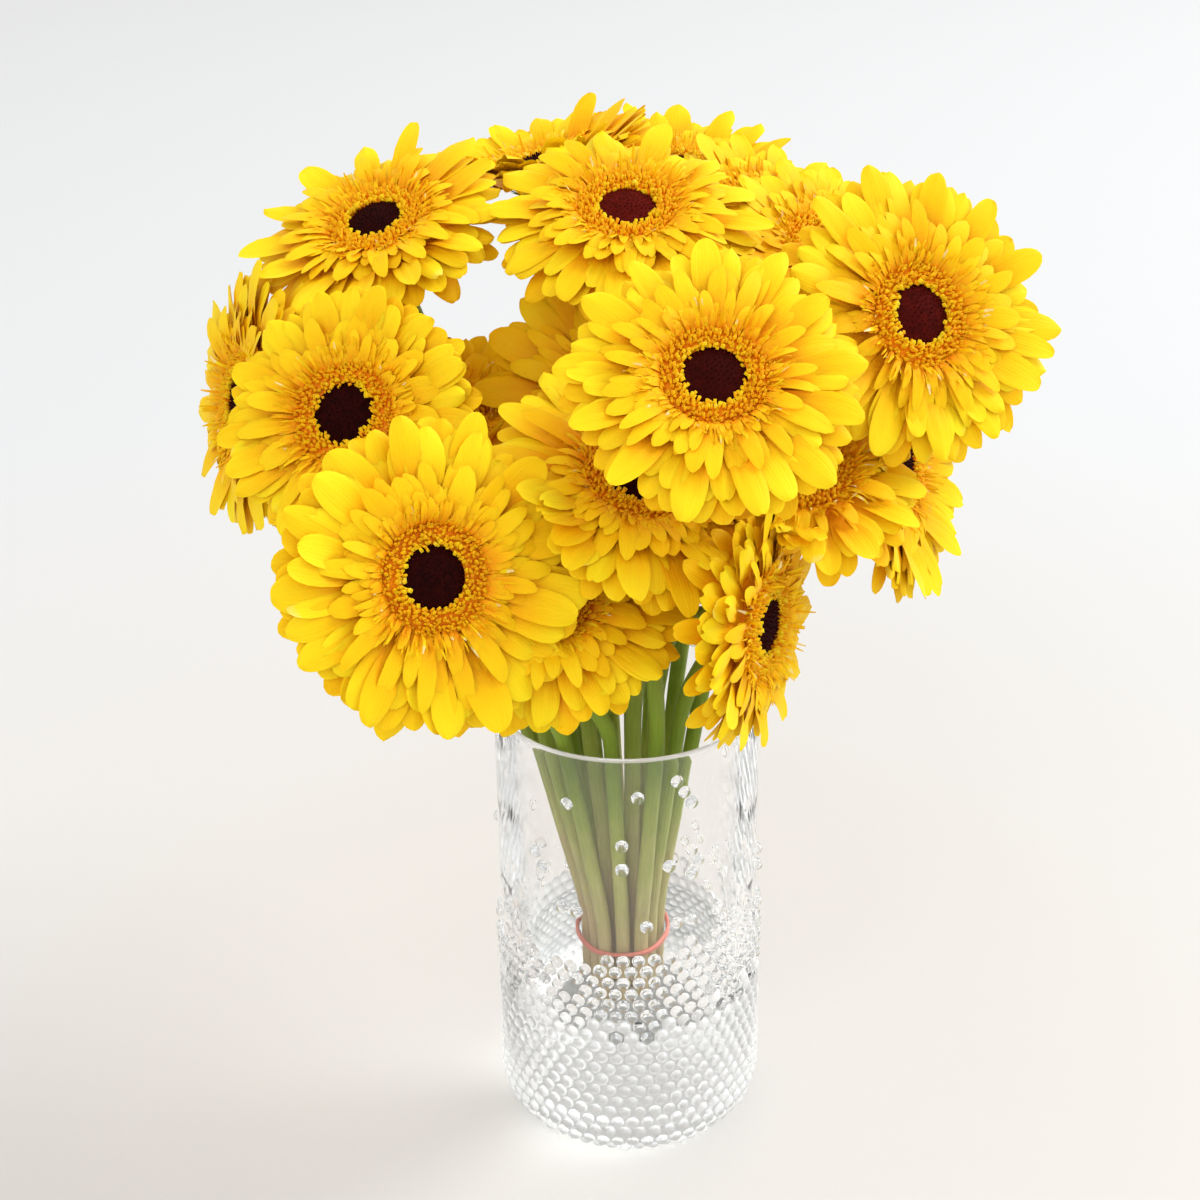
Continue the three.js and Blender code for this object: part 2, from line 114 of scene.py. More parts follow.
class Skin:
    """Gathers the parts of one piece and makes one mesh of them. Each point carries its
    place on its own petal or leaf, a warmth and a tint, which the materials read."""

    def __init__(self):
        self.points, self.faces, self.marks, self.coats, self.count = [], [], [], [], 0

    def add(self, points, faces, place=(0, 0), warmth=0.0, tint=0.0, rim=False, coats=None):
        points = np.asarray(points, float).reshape(-1, 3)
        marks = np.empty((len(points), 5))
        marks[:, 0:2] = place
        marks[:, 2] = warmth
        marks[:, 3] = tint
        marks[:, 4] = rim
        self.points.append(points)
        self.marks.append(marks)
        self.faces += [[corner + self.count for corner in face] for face in faces]
        self.coats += coats or [0] * len(faces)
        self.count += len(points)

    def piece(self, name, materials, slot, nodes, placed=None):
        """The finished object, in metres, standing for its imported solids"""
        points = np.concatenate(self.points)
        if placed is not None:
            turn, middle = turn_and_place(placed)
            points = points @ turn.T + middle
        mesh = bpy.data.meshes.new(name)
        mesh.from_pydata((points * MM).tolist(), [], self.faces)
        marks = np.concatenate(self.marks)
        corners = np.empty(len(mesh.loops), int)
        mesh.loops.foreach_get("vertex_index", corners)
        own_map = mesh.uv_layers.new(name="own_map")
        own_map.data.foreach_set("uv", marks[corners, 0:2].ravel())
        for column, label in ((2, "warmth"), (3, "tint")):
            mark = mesh.attributes.new(label, "FLOAT", "POINT")
            mark.data.foreach_set("value", marks[:, column].copy())
        ends = np.empty(len(mesh.edges) * 2, int)
        mesh.edges.foreach_get("vertices", ends)
        on_rim = marks[ends.reshape(-1, 2), 4].min(axis=1) > 0
        mesh.polygons.foreach_set("use_smooth", np.ones(len(mesh.polygons), bool))
        for material in materials:
            mesh.materials.append(material)
        mesh.polygons.foreach_set("material_index", self.coats)
        mesh.edges.foreach_set("use_edge_sharp", on_rim)
        mesh.update()
        thing = bpy.data.objects.new(name, mesh)
        bpy.context.scene.collection.objects.link(thing)
        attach(thing, "root")
        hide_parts(*nodes)
        return thing


@functools.cache
def leaf_faces(rows, columns):
    """The faces of a closed leaf: an upper grid, and a lower one that shares its rim.
    Also which points lie on the rim."""
    def upper(row, column):
        return row * columns + column

    def lower(row, column):
        if row in (0, rows - 1) or column in (0, columns - 1):
            return upper(row, column)
        return rows * columns + (row - 1) * (columns - 2) + column - 1

    faces = []
    for row in range(rows - 1):
        for column in range(columns - 1):
            square = ((row, column), (row + 1, column), (row + 1, column + 1), (row, column + 1))
            faces.append([upper(*corner) for corner in square])
            faces.append([lower(*corner) for corner in reversed(square)])
    rim = np.zeros(rows * columns + (rows - 2) * (columns - 2), bool)
    for row in range(rows):
        for column in range(columns):
            rim[upper(row, column)] = lower(row, column) == upper(row, column)
    return faces, rim


def leaf_points(path, halves, columns, hollow, thick, roll=0.0, notch=None, sway=0.0):
    """The points of a closed leaf over a path of (outward, up) places: its half width at
    each row, its columns from -1 to 1, how far each point stands off the path, how far the
    leaf is rolled and how far it sways to one side at its tip"""
    path, halves, columns = np.asarray(path), np.asarray(halves), np.asarray(columns)
    ahead = np.gradient(path, axis=0)
    ahead /= np.linalg.norm(ahead, axis=1)[:, None]
    off = np.stack([-ahead[:, 1], ahead[:, 0]], axis=1)
    aside = halves[:, None] * columns[None, :]
    stands = hollow + aside * math.sin(roll)
    outward = path[:, 0, None] + off[:, 0, None] * stands
    height = path[:, 1, None] + off[:, 1, None] * stands
    if notch is not None:
        outward[-1] -= ahead[-1, 0] * notch
        height[-1] -= ahead[-1, 1] * notch
    beside = sway * np.linspace(0, 1, len(path))[:, None] ** 2
    upper = np.stack([outward, aside * math.cos(roll) + beside, height], axis=2)
    down = np.stack([off[:, 0], np.zeros(len(path)), off[:, 1]], axis=1)[:, None, :] * thick
    lower = (upper - down)[1:-1, 1:-1]
    return np.concatenate([upper.reshape(-1, 3), lower.reshape(-1, 3)])


def leaf_places(rows, columns):
    """Each point's place on its leaf: across from 0 to 1, and along from 0 to 1"""
    across, along = np.meshgrid((np.asarray(columns) + 1) / 2, rows)
    grid = np.stack([across, along], axis=2)
    return np.concatenate([grid.reshape(-1, 2), grid[1:-1, 1:-1].reshape(-1, 2)])


def tube_faces(count, sides, is_loop=False):
    """The faces between rings of points. In a loop the last ring is joined to the first."""
    faces = []
    for ring in range(count if is_loop else count - 1):
        low, high = ring * sides, (ring + 1) % count * sides
        for side in range(sides):
            after = (side + 1) % sides
            faces.append([low + side, low + after, high + after, high + side])
    return faces


def end_faces(count, sides):
    """The faces that close the first and the last ring of a tube, each round a middle point.
    The two middle points follow the rings."""
    last, middle = (count - 1) * sides, count * sides
    faces = []
    for side in range(sides):
        after = (side + 1) % sides
        faces.append([after, side, middle])
        faces.append([last + side, last + after, middle + 1])
    return faces


def turned(points, turns):
    """Points swung round the head's axis"""
    ahead, aside = math.cos(turns * TURN), math.sin(turns * TURN)
    return points @ np.array([[ahead, aside, 0], [-aside, ahead, 0], [0, 0, 1]])


def smooth_step(values):
    values = np.clip(values, 0, 1)
    return values * values * (3 - 2 * values)


def bowed_path(start, along, lift, length, bow, fall):
    """A path of (outward, up) places that rises, bows up in its middle and falls at its tip"""
    rise = (bow * along * (1 - along) - fall * along ** 3) * length
    outward = start[0] + along * length * math.cos(lift) - rise * math.sin(lift)
    height = start[1] + along * length * math.sin(lift) + rise * math.cos(lift)
    return np.stack([outward, height], axis=1)


def add_leaf(skin, turns, rows, columns, path, halves, hollow, thick, warm, fade, **bends):
    """A closed leaf turned to its place round the head, less warm towards its tip. Fade gives
    how much less, and how far along."""
    points = leaf_points(path, halves, columns, hollow, thick, **bends)
    faces, rim = leaf_faces(len(rows), len(columns))
    place = leaf_places(np.clip(rows, 0, 1), columns)
    # On the petals the warmer root is partly their own orange heart and partly painted shade where the
    # whorls lie over each other
    warmth = warm - fade[0] * smooth_step(place[:, 1] / fade[1])
    skin.add(turned(points, turns), faces, place, warmth, chance.uniform(-1, 1), rim)


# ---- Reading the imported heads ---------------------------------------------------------

def corners_of(node):
    """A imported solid's corners, each once, in millimetres"""
    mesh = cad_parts[node].data
    corners = np.empty(len(mesh.vertices) * 3)
    mesh.vertices.foreach_get("co", corners)
    return np.unique(np.round(corners.reshape(-1, 3) / MM, 3), axis=0)


def head_frame(bloom):
    """The matrix of a head's own frame: its middle, with +Z the way it faces"""
    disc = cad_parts[f"disc_{bloom:02d}"].data

    def alike(side):
        return [other for other in disc.polygons if other.normal.dot(side.normal) > 0.9999]

    underside = alike(max(disc.polygons, key=lambda side: sum(other.area for other in alike(side))))
    facing = -underside[0].normal
    rim = {
        tuple(round(x, 7) for x in disc.vertices[corner].co)
        for side in underside for corner in side.vertices}
    centre = sum((Vector(point) for point in rim), Vector()) / len(rim) / MM
    turn = UP.rotation_difference(facing) @ Quaternion(UP, bloom - 1)
    return Matrix.Translation(centre - facing * DISC_BASE) @ turn.to_matrix().to_4x4()


def petal_reaches(bloom, placed):
    """The lift, in radians, and the length of each petal of a packed head"""
    turn, middle = turn_and_place(placed.inverted())
    points = corners_of(f"petals_{bloom:02d}") @ turn.T + middle
    reaches = []
    for place in range(PETALS):
        angle = (place + 0.5) / PETALS * TURN
        outward = points[:, 0] * math.cos(angle) + points[:, 1] * math.sin(angle)
        aside = points[:, 1] * math.cos(angle) - points[:, 0] * math.sin(angle)
        rib = (np.abs(aside) < 0.05) & (outward > 5)
        away = np.stack([outward[rib] - ROOT_RADIUS, points[rib, 2] - ROOT_HEIGHT], axis=1)
        tip = max(away, key=np.linalg.norm)
        reaches.append((math.atan2(tip[1], tip[0]), float(np.linalg.norm(tip))))
    return reaches


# ---- Petals ---------------------------------------------------------------------------

PETAL_ROWS = np.array([-0.35, 0.0, 0.18, 0.38, 0.58, 0.75, 0.86, 0.93, 0.98, 1.0])
PETAL_COLUMNS = (-1, -0.7, -0.36, 0, 0.36, 0.7, 1)
PETAL_THICK = 0.45
PETAL_TEETH = np.array([0.3, 0.0, 0.1, -0.1, 0.1, 0.0, 0.3])
GROOVES = np.array([0, 0.12, -0.6, 0.2, -0.6, 0.12, 0])
LEAST_HALF = 4.6  # a petal's widest half width is this and a share of its length
HALF_SHARE = 0.082
CLAW_RADIUS = 15.0  # where the narrow root of a petal begins
CLAW_HALF = 1.6
BREADTHS = {1: 1.04}  # of the petals of the blooms that differ
USUAL_BREADTH = 0.88
SHORTEST_PETAL = 4.0  # a shorter one had no room and is left out


def round_end(along, shoulder, blunt):
    """How the half width falls off past the shoulder, to a round end"""
    past = np.clip(along - shoulder, 0, None) / (1 - shoulder)
    return np.sqrt(1 - (1 - blunt) * past ** 2)


def long_petal(skin, turns, lift, length, root_up, breadth, warm):
    """One strap-shaped petal with two grooves and a round, faintly toothed tip, on the line
    of its packed petal"""
    along = np.clip(PETAL_ROWS, 0, 1)
    root = (ROOT_RADIUS, ROOT_HEIGHT + root_up)
    path = bowed_path(root, along, lift, length, PETAL_BOW, chance.uniform(-0.03, 0.1))
    path[0] = CLAW_RADIUS, ROOT_HEIGHT + root_up + 1
    widest = (LEAST_HALF + HALF_SHARE * length) * breadth * chance.uniform(0.86, 1.14)
    halves = widest * (0.64 + 0.36 * smooth_step(along / 0.55)) * round_end(along, 0.62, 0.04)
    halves[0] = CLAW_HALF
    depth = np.sin(np.clip(along, 0.05, 0.97) * math.pi) ** 0.6 * chance.uniform(0.6, 1.3)
    edge_fall = chance.uniform(-2.2, 0.6)
    ripple = 0.4 * np.sin(along * chance.uniform(7, 12) + chance.uniform(0, 6))
    hollow = depth[:, None] * GROOVES + edge_fall * along[:, None] * np.square(PETAL_COLUMNS)
    hollow += ripple[:, None] * np.array(PETAL_COLUMNS)
    add_leaf(
        skin, turns, PETAL_ROWS, PETAL_COLUMNS, path, halves, hollow, PETAL_THICK, warm, (0.42, 0.95),
        roll=chance.uniform(-0.2, 0.2), notch=PETAL_TEETH * length / 34,
        sway=chance.gauss(0, 0.035) * length)


INNER_ROWS = np.array([0.0, 0.3, 0.58, 0.8, 0.93, 1.0])
INNER_COLUMNS = (-1, -0.45, 0, 0.45, 1)
INNER_BOW = 0.34
INNER_TEETH = np.array([0.08, 0.0, -0.03, 0.0, 0.08])
INNER_FOLDS = np.array([-0.3, 0.15, -0.3, 0.15, -0.3])


def inner_petal(skin, turns, lift, length, start, widest, fall, warm):
    """A short petal of the inner whorls, which rises and then leans out"""
    path = bowed_path(start, INNER_ROWS, lift, length, INNER_BOW, fall)
    halves = widest * (0.55 + 0.45 * smooth_step(INNER_ROWS / 0.6)) * round_end(INNER_ROWS, 0.6, 0.06)
    hollow = np.sin(np.clip(INNER_ROWS, 0.1, 0.95) * math.pi)[:, None] * INNER_FOLDS * widest / 3
    add_leaf(
        skin, turns, INNER_ROWS, INNER_COLUMNS, path, halves, hollow, 0.35, warm, (0.36, 0.9),
        roll=chance.uniform(-0.3, 0.3), notch=INNER_TEETH * widest, sway=chance.gauss(0, 0.04) * length)


SLIM_ROWS = np.array([0.0, 0.25, 0.5, 0.75, 1.0])
SLIM_COLUMNS = (-1, 0, 1)


def slim_floret(skin, turns, lift, length, start, half, curl, warm, pale_tip):
    """A narrow floret of the crown, curled at its tip"""
    bend = lift + curl * SLIM_ROWS ** 2
    step = np.diff(SLIM_ROWS, prepend=0) * length
    outward = start[0] + np.cumsum(step * np.cos(bend))
    height = start[1] + np.cumsum(step * np.sin(bend))
    halves = half * np.array([0.7, 0.95, 1.0, 0.9, 0.45])
    hollow = np.tile([0.22, -0.12, 0.22], (len(SLIM_ROWS), 1))
    add_leaf(
        skin, turns, SLIM_ROWS, SLIM_COLUMNS, np.stack([outward, height], axis=1), halves, hollow, 0.3,
        warm, (0.28 + pale_tip, 1), roll=chance.uniform(-0.7, 0.7))


def bud(skin, foot, lean, length, half, sides, warm, tip_warm, tint=0.0, flare=1.35):
    """A tiny tube, flared to its tip and hollow there, standing on the disc"""
    lean = np.asarray(lean, float) / np.linalg.norm(lean)
    side = np.cross(lean, [0.3, 0.2, 1.0])
    side /= np.linalg.norm(side)
    over = np.cross(lean, side)
    angles = chance.uniform(0, TURN) + np.arange(sides) / sides * TURN
    around = half * (np.cos(angles)[:, None] * side + np.sin(angles)[:, None] * over)
    tip = foot + lean * length
    points = np.concatenate([foot + around * 0.8, tip + around * flare, [foot + lean * length * 0.9]])
    faces = [list(range(sides))[::-1]]
    for corner in range(sides):
        after = (corner + 1) % sides
        faces.append([corner, after, sides + after, sides + corner])
        faces.append([sides + corner, sides + after, 2 * sides])
    warmth = np.repeat([warm, tip_warm, warm], (sides, sides, 1))
    skin.add(points, faces, (0.5, 0.5), warmth, tint)


def bed(skin, radii, heights, warmth, sides=40):
    """A round bed under the florets, closed below, from its edge inwards"""
    turns = np.arange(sides) / sides * TURN
    rings = [[radius * math.cos(turn), radius * math.sin(turn), height]
             for radius, height in zip(radii, heights) for turn in turns]
    rings += [[0, 0, heights[0]], [0, 0, heights[-1]]]
    faces = tube_faces(len(radii), sides) + end_faces(len(radii), sides)
    skin.add(rings, faces, (0.5, 0.5), warmth)


# The inner whorls are painted warmer the deeper they lie: partly their own orange, partly painted shade
RUFFLES = (  # count, reach as a share of the head's radius, lift, half width, root, fall, warmth
    (34, 0.74, 0.22, 4.3, (19.0, 2.4), 0.12, 0.64),
    (42, 0.61, 0.36, 2.9, (19.5, 3.2), 0.20, 0.66),
    (50, 0.51, 0.52, 1.9, (20.0, 3.8), 0.30, 0.72),
    (66, 0.44, 0.72, 1.1, (20.5, 4.2), 0.42, 0.76),
)
SLIM_FLORETS = 170
PALE_TIP_SHARE = 0.14
FLORET_RINGS = (13.6, 14.8, 15.9, 17.0, 18.1, 19.2, 20.3, 21.4)
FLORETS_PER_MM = 4.4  # of a ring's radius
THIN_SIDE = 0.6  # the share of a whorl that is missing in the middle of its thin side


def floret_bed_height(radius):
    """The height of the bed that the ring of small florets stands on"""
    return 4.4 - 0.03 * (radius - 16) ** 2


def crown(skin, radius):
    """The inner whorls, the slim florets and the ring of small florets round the disc. On
    one side the whorls are thinner, lie flatter and reach further."""
    far_side = chance.random()
    for count, share, lift, widest, root, fall, warm in RUFFLES:
        for i in range(count):
            turns = (i + chance.uniform(-0.4, 0.4)) / count
            far = math.cos((turns - far_side) * TURN)
            if chance.random() < THIN_SIDE * far:
                continue
            inner_petal(
                skin, turns,
                lift=lift * (1 - 0.25 * far) + chance.uniform(-0.14, 0.14),
                length=(radius * share - root[0]) * (1 + 0.1 * far) * chance.uniform(0.84, 1.14),
                start=root,
                widest=widest * chance.uniform(0.8, 1.2),
                fall=fall * chance.uniform(0.3, 1.6),
                warm=warm)
    for i in range(SLIM_FLORETS):
        is_pale = chance.random() < PALE_TIP_SHARE
        slim_floret(
            skin,
            turns=(i + chance.uniform(-0.4, 0.4)) / SLIM_FLORETS,
            lift=chance.uniform(0.5, 1.3),
            length=chance.uniform(5, 13),
            start=(chance.uniform(20, 25), 3.4),
            half=chance.uniform(0.4, 0.8),
            curl=chance.uniform(-1.4, 0.2),
            warm=chance.uniform(0.5, 0.72),
            pale_tip=0.42 if is_pale else 0.05)
    for ring, middle in enumerate(FLORET_RINGS):
        count = int(middle * FLORETS_PER_MM)
        for i in range(count):
            angle = (i + 0.5 * (ring % 2) + chance.uniform(-0.4, 0.4)) / count * TURN
            spot = middle + chance.uniform(-0.6, 0.6)
            away = np.array([math.cos(angle), math.sin(angle), 0])
            foot = away * spot + [0, 0, floret_bed_height(spot) - 0.8]
            aside = np.array([-away[1], away[0], 0]) * chance.uniform(-0.4, 0.4)
            lean = aside + away * (-0.35 + 0.12 * ring + chance.uniform(-0.4, 0.4)) + [0, 0, 1]
            half, tip_warm = chance.uniform(0.4, 0.6), chance.uniform(0.3, 0.56)
            if ring < 2 and chance.random() < 0.5:
                half, tip_warm = chance.uniform(0.55, 0.8), chance.uniform(0.03, 0.3)
            bud(skin, foot, lean, chance.uniform(2.0, 4.8), half, 4, chance.uniform(0.58, 0.75), tip_warm)
    radii = (21, 26, 22.5, 20.5, 18, 16, 14, 10.5)
    heights = (-2.6, 0.2, *(floret_bed_height(radius) for radius in radii[2:7]), 2.5)
    bed(skin, radii, heights, 0.74)


# Painted shade on the whorls: the back whorl lies under the front one and is painted warmer (more orange) as
# its shade
FRONT_WHORL, SHADED_BACK_WHORL = (0.9, 0.6), (-0.9, 0.72)  # height over the roots, and warmth
OWN_SHARE = 0.955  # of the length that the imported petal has
BETWEEN_SHARES = (0.85, 0.92)
# Painted shade: the petals between the whorls are painted a little warmer than the front whorl
BETWEEN_SHADE_WARMTH = 0.66
UPPER_WHORL = 30
UPPER_HEIGHT = 2.0
# Painted light: the upper whorl is painted cooler (more yellow), as the most lit
UPPER_LIT_WARMTH = 0.56
UPPER_SHARE = 0.88  # of the length of the petals under it
UPPER_BREADTH = 0.92  # of their breadth


def make_petals(bloom, placed, material):
    """A whole yellow head: four whorls of long petals, the inner whorls and the crown"""
    reaches = petal_reaches(bloom, placed)
    breadth = BREADTHS.get(bloom, USUAL_BREADTH)
    skin = Skin()
    for place, (lift, length) in enumerate(reaches):
        next_lift, next_length = reaches[(place + 1) % PETALS]
        if length > SHORTEST_PETAL:
            turns = (place + 0.5 + chance.uniform(-0.14, 0.14)) / PETALS
            root_up, warm = SHADED_BACK_WHORL if place % 2 else FRONT_WHORL
            long_petal(skin, turns, lift, length * OWN_SHARE, root_up, breadth, warm)
        if min(length, next_length) > SHORTEST_PETAL:
            turns = (place + 1 + chance.uniform(-0.2, 0.2)) / PETALS
            reach = (length + next_length) / 2 * chance.uniform(*BETWEEN_SHARES)
            root_up = chance.uniform(-0.3, 0.3)
            long_petal(skin, turns, (lift + next_lift) / 2, reach, root_up, breadth, BETWEEN_SHADE_WARMTH)
    for i in range(UPPER_WHORL):
        turns = (i + chance.uniform(-0.25, 0.25)) / UPPER_WHORL % 1
        place = int(turns * PETALS)
        under = [reaches[place], reaches[(place + 1) % PETALS]]
        shorter = min(length for _, length in under)
        if shorter > SHORTEST_PETAL:
            lift = sum(lift for lift, _ in under) / 2 + chance.uniform(0.02, 0.14)
            reach = shorter * UPPER_SHARE * chance.uniform(0.78, 1.06)
            long_petal(skin, turns, lift, reach, UPPER_HEIGHT, breadth * UPPER_BREADTH, UPPER_LIT_WARMTH)
    crown(skin, ROOT_RADIUS + np.median([length for _, length in reaches]))
    name = f"petals_{bloom:02d}"
    return skin.piece(f"{name}_fine", [material], "petals", [name], placed)


# ---- The dark disc --------------------------------------------------------------------

DISC_BUDS = 120
DISC_RADII = {1: 12.5, 3: 13.6, 6: 12.6}  # of the blooms that differ
USUAL_DISC_RADIUS = 13.2
RED_DISCS = {2: 0.15, 4: 0.35, 6: 0.45}  # blooms with a redder disc, and how much redder


def disc_height(share):
    """The height of the disc's dome, by its share of the way to the edge"""
    return 4.0 + 3.0 * (1 - share ** 2)


def make_disc(bloom, placed, material):
    """The velvety middle: a low dome closely set with small dark buds"""
    skin = Skin()
    edge = DISC_RADII.get(bloom, USUAL_DISC_RADIUS)
    shares = (1.0, 1.0, 0.85, 0.63, 0.37, 0.15)
    redder = RED_DISCS.get(bloom, 0)
    bed(skin, [edge * share for share in shares], (2.2, *map(disc_height, shares[1:])), 0.1 + redder)
    golden = math.pi * (3 - math.sqrt(5))
    for i in range(DISC_BUDS):
        share = math.sqrt((i + 0.5) / DISC_BUDS)
        away = np.array([math.cos(i * golden), math.sin(i * golden), 0]) * share
        foot = away * edge * 0.96 + [0, 0, disc_height(share) - 0.5]
        lean = away * 0.6 + [chance.uniform(-0.1, 0.1), chance.uniform(-0.1, 0.1), 1]
        warm = share ** 4
        bud(skin, foot, lean, chance.uniform(1.1, 1.9), 0.55, 5, 0.1 + redder + 0.3 * warm,
            0.15 + redder + 0.55 * warm, chance.uniform(-1, 1), flare=0.45)
    name = f"disc_{bloom:02d}"
    return skin.piece(f"{name}_fine", [material], "disc", [name], placed)


# ---- Stems ----------------------------------------------------------------------------

def stem_line(bloom, placed):
    """The middle line of a stem, from its cut end to the neck, without kinks"""
    corners = corners_of(f"stem_{bloom:02d}")
    foot = corners[corners[:, 2] < TIE_LOW - 5].mean(axis=0)
    end = corners[:, 2].min()
    at_rim = corners[np.abs(corners[:, 2] - VASE_HEIGHT) < 4].mean(axis=0)
    turn, middle = turn_and_place(placed)
    facing = turn[:, 2]
    neck = middle - facing * NECK
    tie = np.array([foot[0], foot[1], TIE_HIGH])
    heading = (at_rim - tie) / np.linalg.norm(at_rim - tie)
    reach = np.linalg.norm(neck - at_rim)
    pulls = (at_rim, at_rim + heading * reach * RIM_REACH, neck - facing * reach * NECK_REACH, neck)
    line = [np.array([foot[0], foot[1], height]) for height in np.linspace(end, TIE_HIGH, 6)]
    line += [tie + (at_rim - tie) * share for share in np.linspace(0, 1, 12)[1:]]
    for share in np.linspace(0, 1, 22)[1:]:
        left = 1 - share
        weights = (left ** 3, 3 * left ** 2 * share, 3 * left * share ** 2, share ** 3)
        line.append(sum(weight * pull for weight, pull in zip(weights, pulls)))
    line = np.array(line)
    for _ in range(2):
        line[1:-1] = (line[:-2] + 2 * line[1:-1] + line[2:]) / 4
    return line


def stem_rings(line, radii):
    """Rings round a line, each ring's first point carried on from the ring before"""
    ahead = np.gradient(line, axis=0)
    ahead /= np.linalg.norm(ahead, axis=1)[:, None]
    side = np.array([1.0, 0, 0])
    rings = []
    for centre, heading, radius in zip(line, ahead, radii):
        side = side - heading * side.dot(heading)
        side /= np.linalg.norm(side)
        over = np.cross(heading, side)
        for corner in range(STEM_SIDES):
            angle = corner / STEM_SIDES * TURN
            rib = 1 + 0.025 * (-1) ** corner
            rings.append(centre + radius * rib * (math.cos(angle) * side + math.sin(angle) * over))
    return rings


def make_stem(bloom, placed, material):
    """A stem with its cut end, and the calyx with its two whorls of bracts"""
    line = stem_line(bloom, placed)
    turn, middle = turn_and_place(placed)
    facing = turn[:, 2]
    far = len(line)
    line = np.concatenate([line[:-1], [middle - facing * behind for behind, _ in CALYX]])
    swell = [STEM_RADIUS * (1 + 0.03 * math.sin(i * 0.9 + bloom)) for i in range(far - 1)]
    radii = [*swell, *(radius for _, radius in CALYX)]
    rings = stem_rings(line, radii)
    count = len(line)
    faces = tube_faces(count, STEM_SIDES) + end_faces(count, STEM_SIDES)
    ends = [line[0] + [0, 0, 0.6], middle - facing * 4.6]
    travelled = np.concatenate([[0], np.cumsum(np.linalg.norm(np.diff(line, axis=0), axis=1))])
    along = np.repeat(travelled / 100, STEM_SIDES)
    across = np.tile(np.arange(STEM_SIDES) / STEM_SIDES, count)
    place = np.stack([across, along], axis=1)
    place = np.concatenate([place, [[0.5, 0], [0.5, travelled[-1] / 100]]])
    age = np.clip(1 - place[:, 1] / 1.7, 0, 1)
    rim = np.zeros(len(place), bool)
    rim[:STEM_SIDES] = True
    skin = Skin()
    skin.add([*rings, *ends], faces, place, age, chance.uniform(-1, 1), rim)
    add_bracts(skin, placed)
    name = f"stem_{bloom:02d}"
    return skin.piece(f"{name}_fine", [material], "stem", [name])


BRACT_WHORLS = ((17, -18.0, 6.6, 12.0), (19, -12.0, 10.6, 11.5))  # count, height, radius, length


def add_bracts(skin, placed):
    """Narrow green bracts that lie against the calyx, their tips a little away from it"""
    turn, middle = turn_and_place(placed)
    faces, rim = leaf_faces(len(SLIM_ROWS), len(SLIM_COLUMNS))
    for whorl, (count, height, radius, length) in enumerate(BRACT_WHORLS):
        for i in range(count):
            turns = (i + 0.5 * whorl + chance.uniform(-0.15, 0.15)) / count
            lift = chance.uniform(0.86, 1.0) - 0.22 * whorl
            reach = SLIM_ROWS * length * chance.uniform(0.85, 1.1)
            path = np.stack([
                radius + 0.2 + reach * math.cos(lift) + 0.8 * SLIM_ROWS ** 2,
                height + reach * math.sin(lift) - 0.5 * SLIM_ROWS ** 3], axis=1)
            halves = np.array([1.2, 1.5, 1.35, 0.95, 0.2])
            points = leaf_points(path, halves, SLIM_COLUMNS, np.zeros((5, 3)), -0.4)
            place = leaf_places(SLIM_ROWS, SLIM_COLUMNS) + [0, 3.0]
            skin.add(
                turned(points, turns) @ turn.T + middle, [face[::-1] for face in faces], place, 0.0,
                chance.uniform(-1, 1), rim)


# ---- The vase -------------------------------------------------------------------------

VASE_STEPS = 2 * BEAD_COLUMNS  # corners round the vase
DOME_SIDES = 12
DOME_LEVELS = (0, 24, 46, 68)  # degrees over the foot of a bead's dome
LOWEST_BEADS = -2  # the lowest row of beads, which sits on the rounded foot
BEAD_SIZES = (0.86, 0.98)
BEAD_SHIFT = 0.12  # how far a bead sits off the middle of its cell
LIT_WHITE_BULGES = (0.6, 0.9)  # the beads painted white, as painted light, are flatter
LIP_STEPS = 8
ROUND_STEPS = 4
LIT_WHITE_TOP = 74.0  # below about this height the beads are painted white: painted light for the light that clear glass beads gather
LIT_WHITE_RISE = 8.0  # and this much higher at the sides, where the painted white also covers the dark of the clear wall
LIT_WHITE_BLUR = 8.0  # by which single beads differ from that
CLOSED_TOP = 72.0  # every cell below this height has a bead
BACK_TOP = 62.0  # above this height the beads at the back stand apart
BACK_SHARE = 0.45
BAND_TOP = 99.0  # the middle height of the band's upper edge
BAND_RISE = 15.0  # how much higher the edge is where it is highest
BAND_HIGHEST = math.radians(-60)
BAND_SHARE = 0.97  # of the cells under the edge have a bead
EDGE_SHARE = 0.7  # of the cells on the edge
EDGE_FADE = 6.0
# The frosted finish is white glass: on the underside partly ground glass and partly painted light, on the
# low beads painted light alone
CLEAR, BEADED, FROSTED_AND_LIT_WHITE, LIP = range(4)  # the finishes of the vase


def on_outside(along, turns, out=0.0):
    """A point on the vase's outside. Along is the way up the wall from the rounded foot, and
    less than nothing down the foot."""
    bend = min(-min(along, 0) / BASE_ROUND, math.pi / 2)
    radius = VASE_RADIUS - BASE_ROUND + (BASE_ROUND + out) * math.cos(bend)
    height = BASE_ROUND + max(along, 0) - (BASE_ROUND + out) * math.sin(bend)
    return [radius * math.cos(turns * TURN), radius * math.sin(turns * TURN), height]


def single_cells():
    """The cells of the single beads, as (row, step)"""
    cells = set()
    for degrees, height in SINGLE_BEADS:
        row = round((height - BASE_ROUND) / BEAD_ROW)
        column = round(degrees % 360 / 360 * BEAD_COLUMNS - (row % 2) / 2)
        cells.add((row, (2 * column + row % 2) % VASE_STEPS))
    return cells


def has_bead(row, step):
    """True if the band of beads has one in this cell. It reaches higher at the front right,
    thins out over its upper edge, and is open at the back above its lowest rows."""
    height, angle = BASE_ROUND + row * BEAD_ROW, step / VASE_STEPS * TURN
    edge = BAND_TOP + BAND_RISE * math.cos(angle - BAND_HIGHEST)
    share = BAND_SHARE if height < edge else EDGE_SHARE * math.exp((edge - height) / EDGE_FADE)
    if height > BACK_TOP and math.sin(angle) > 0.15:
        share *= BACK_SHARE
    return height < CLOSED_TOP or chance.random() < share


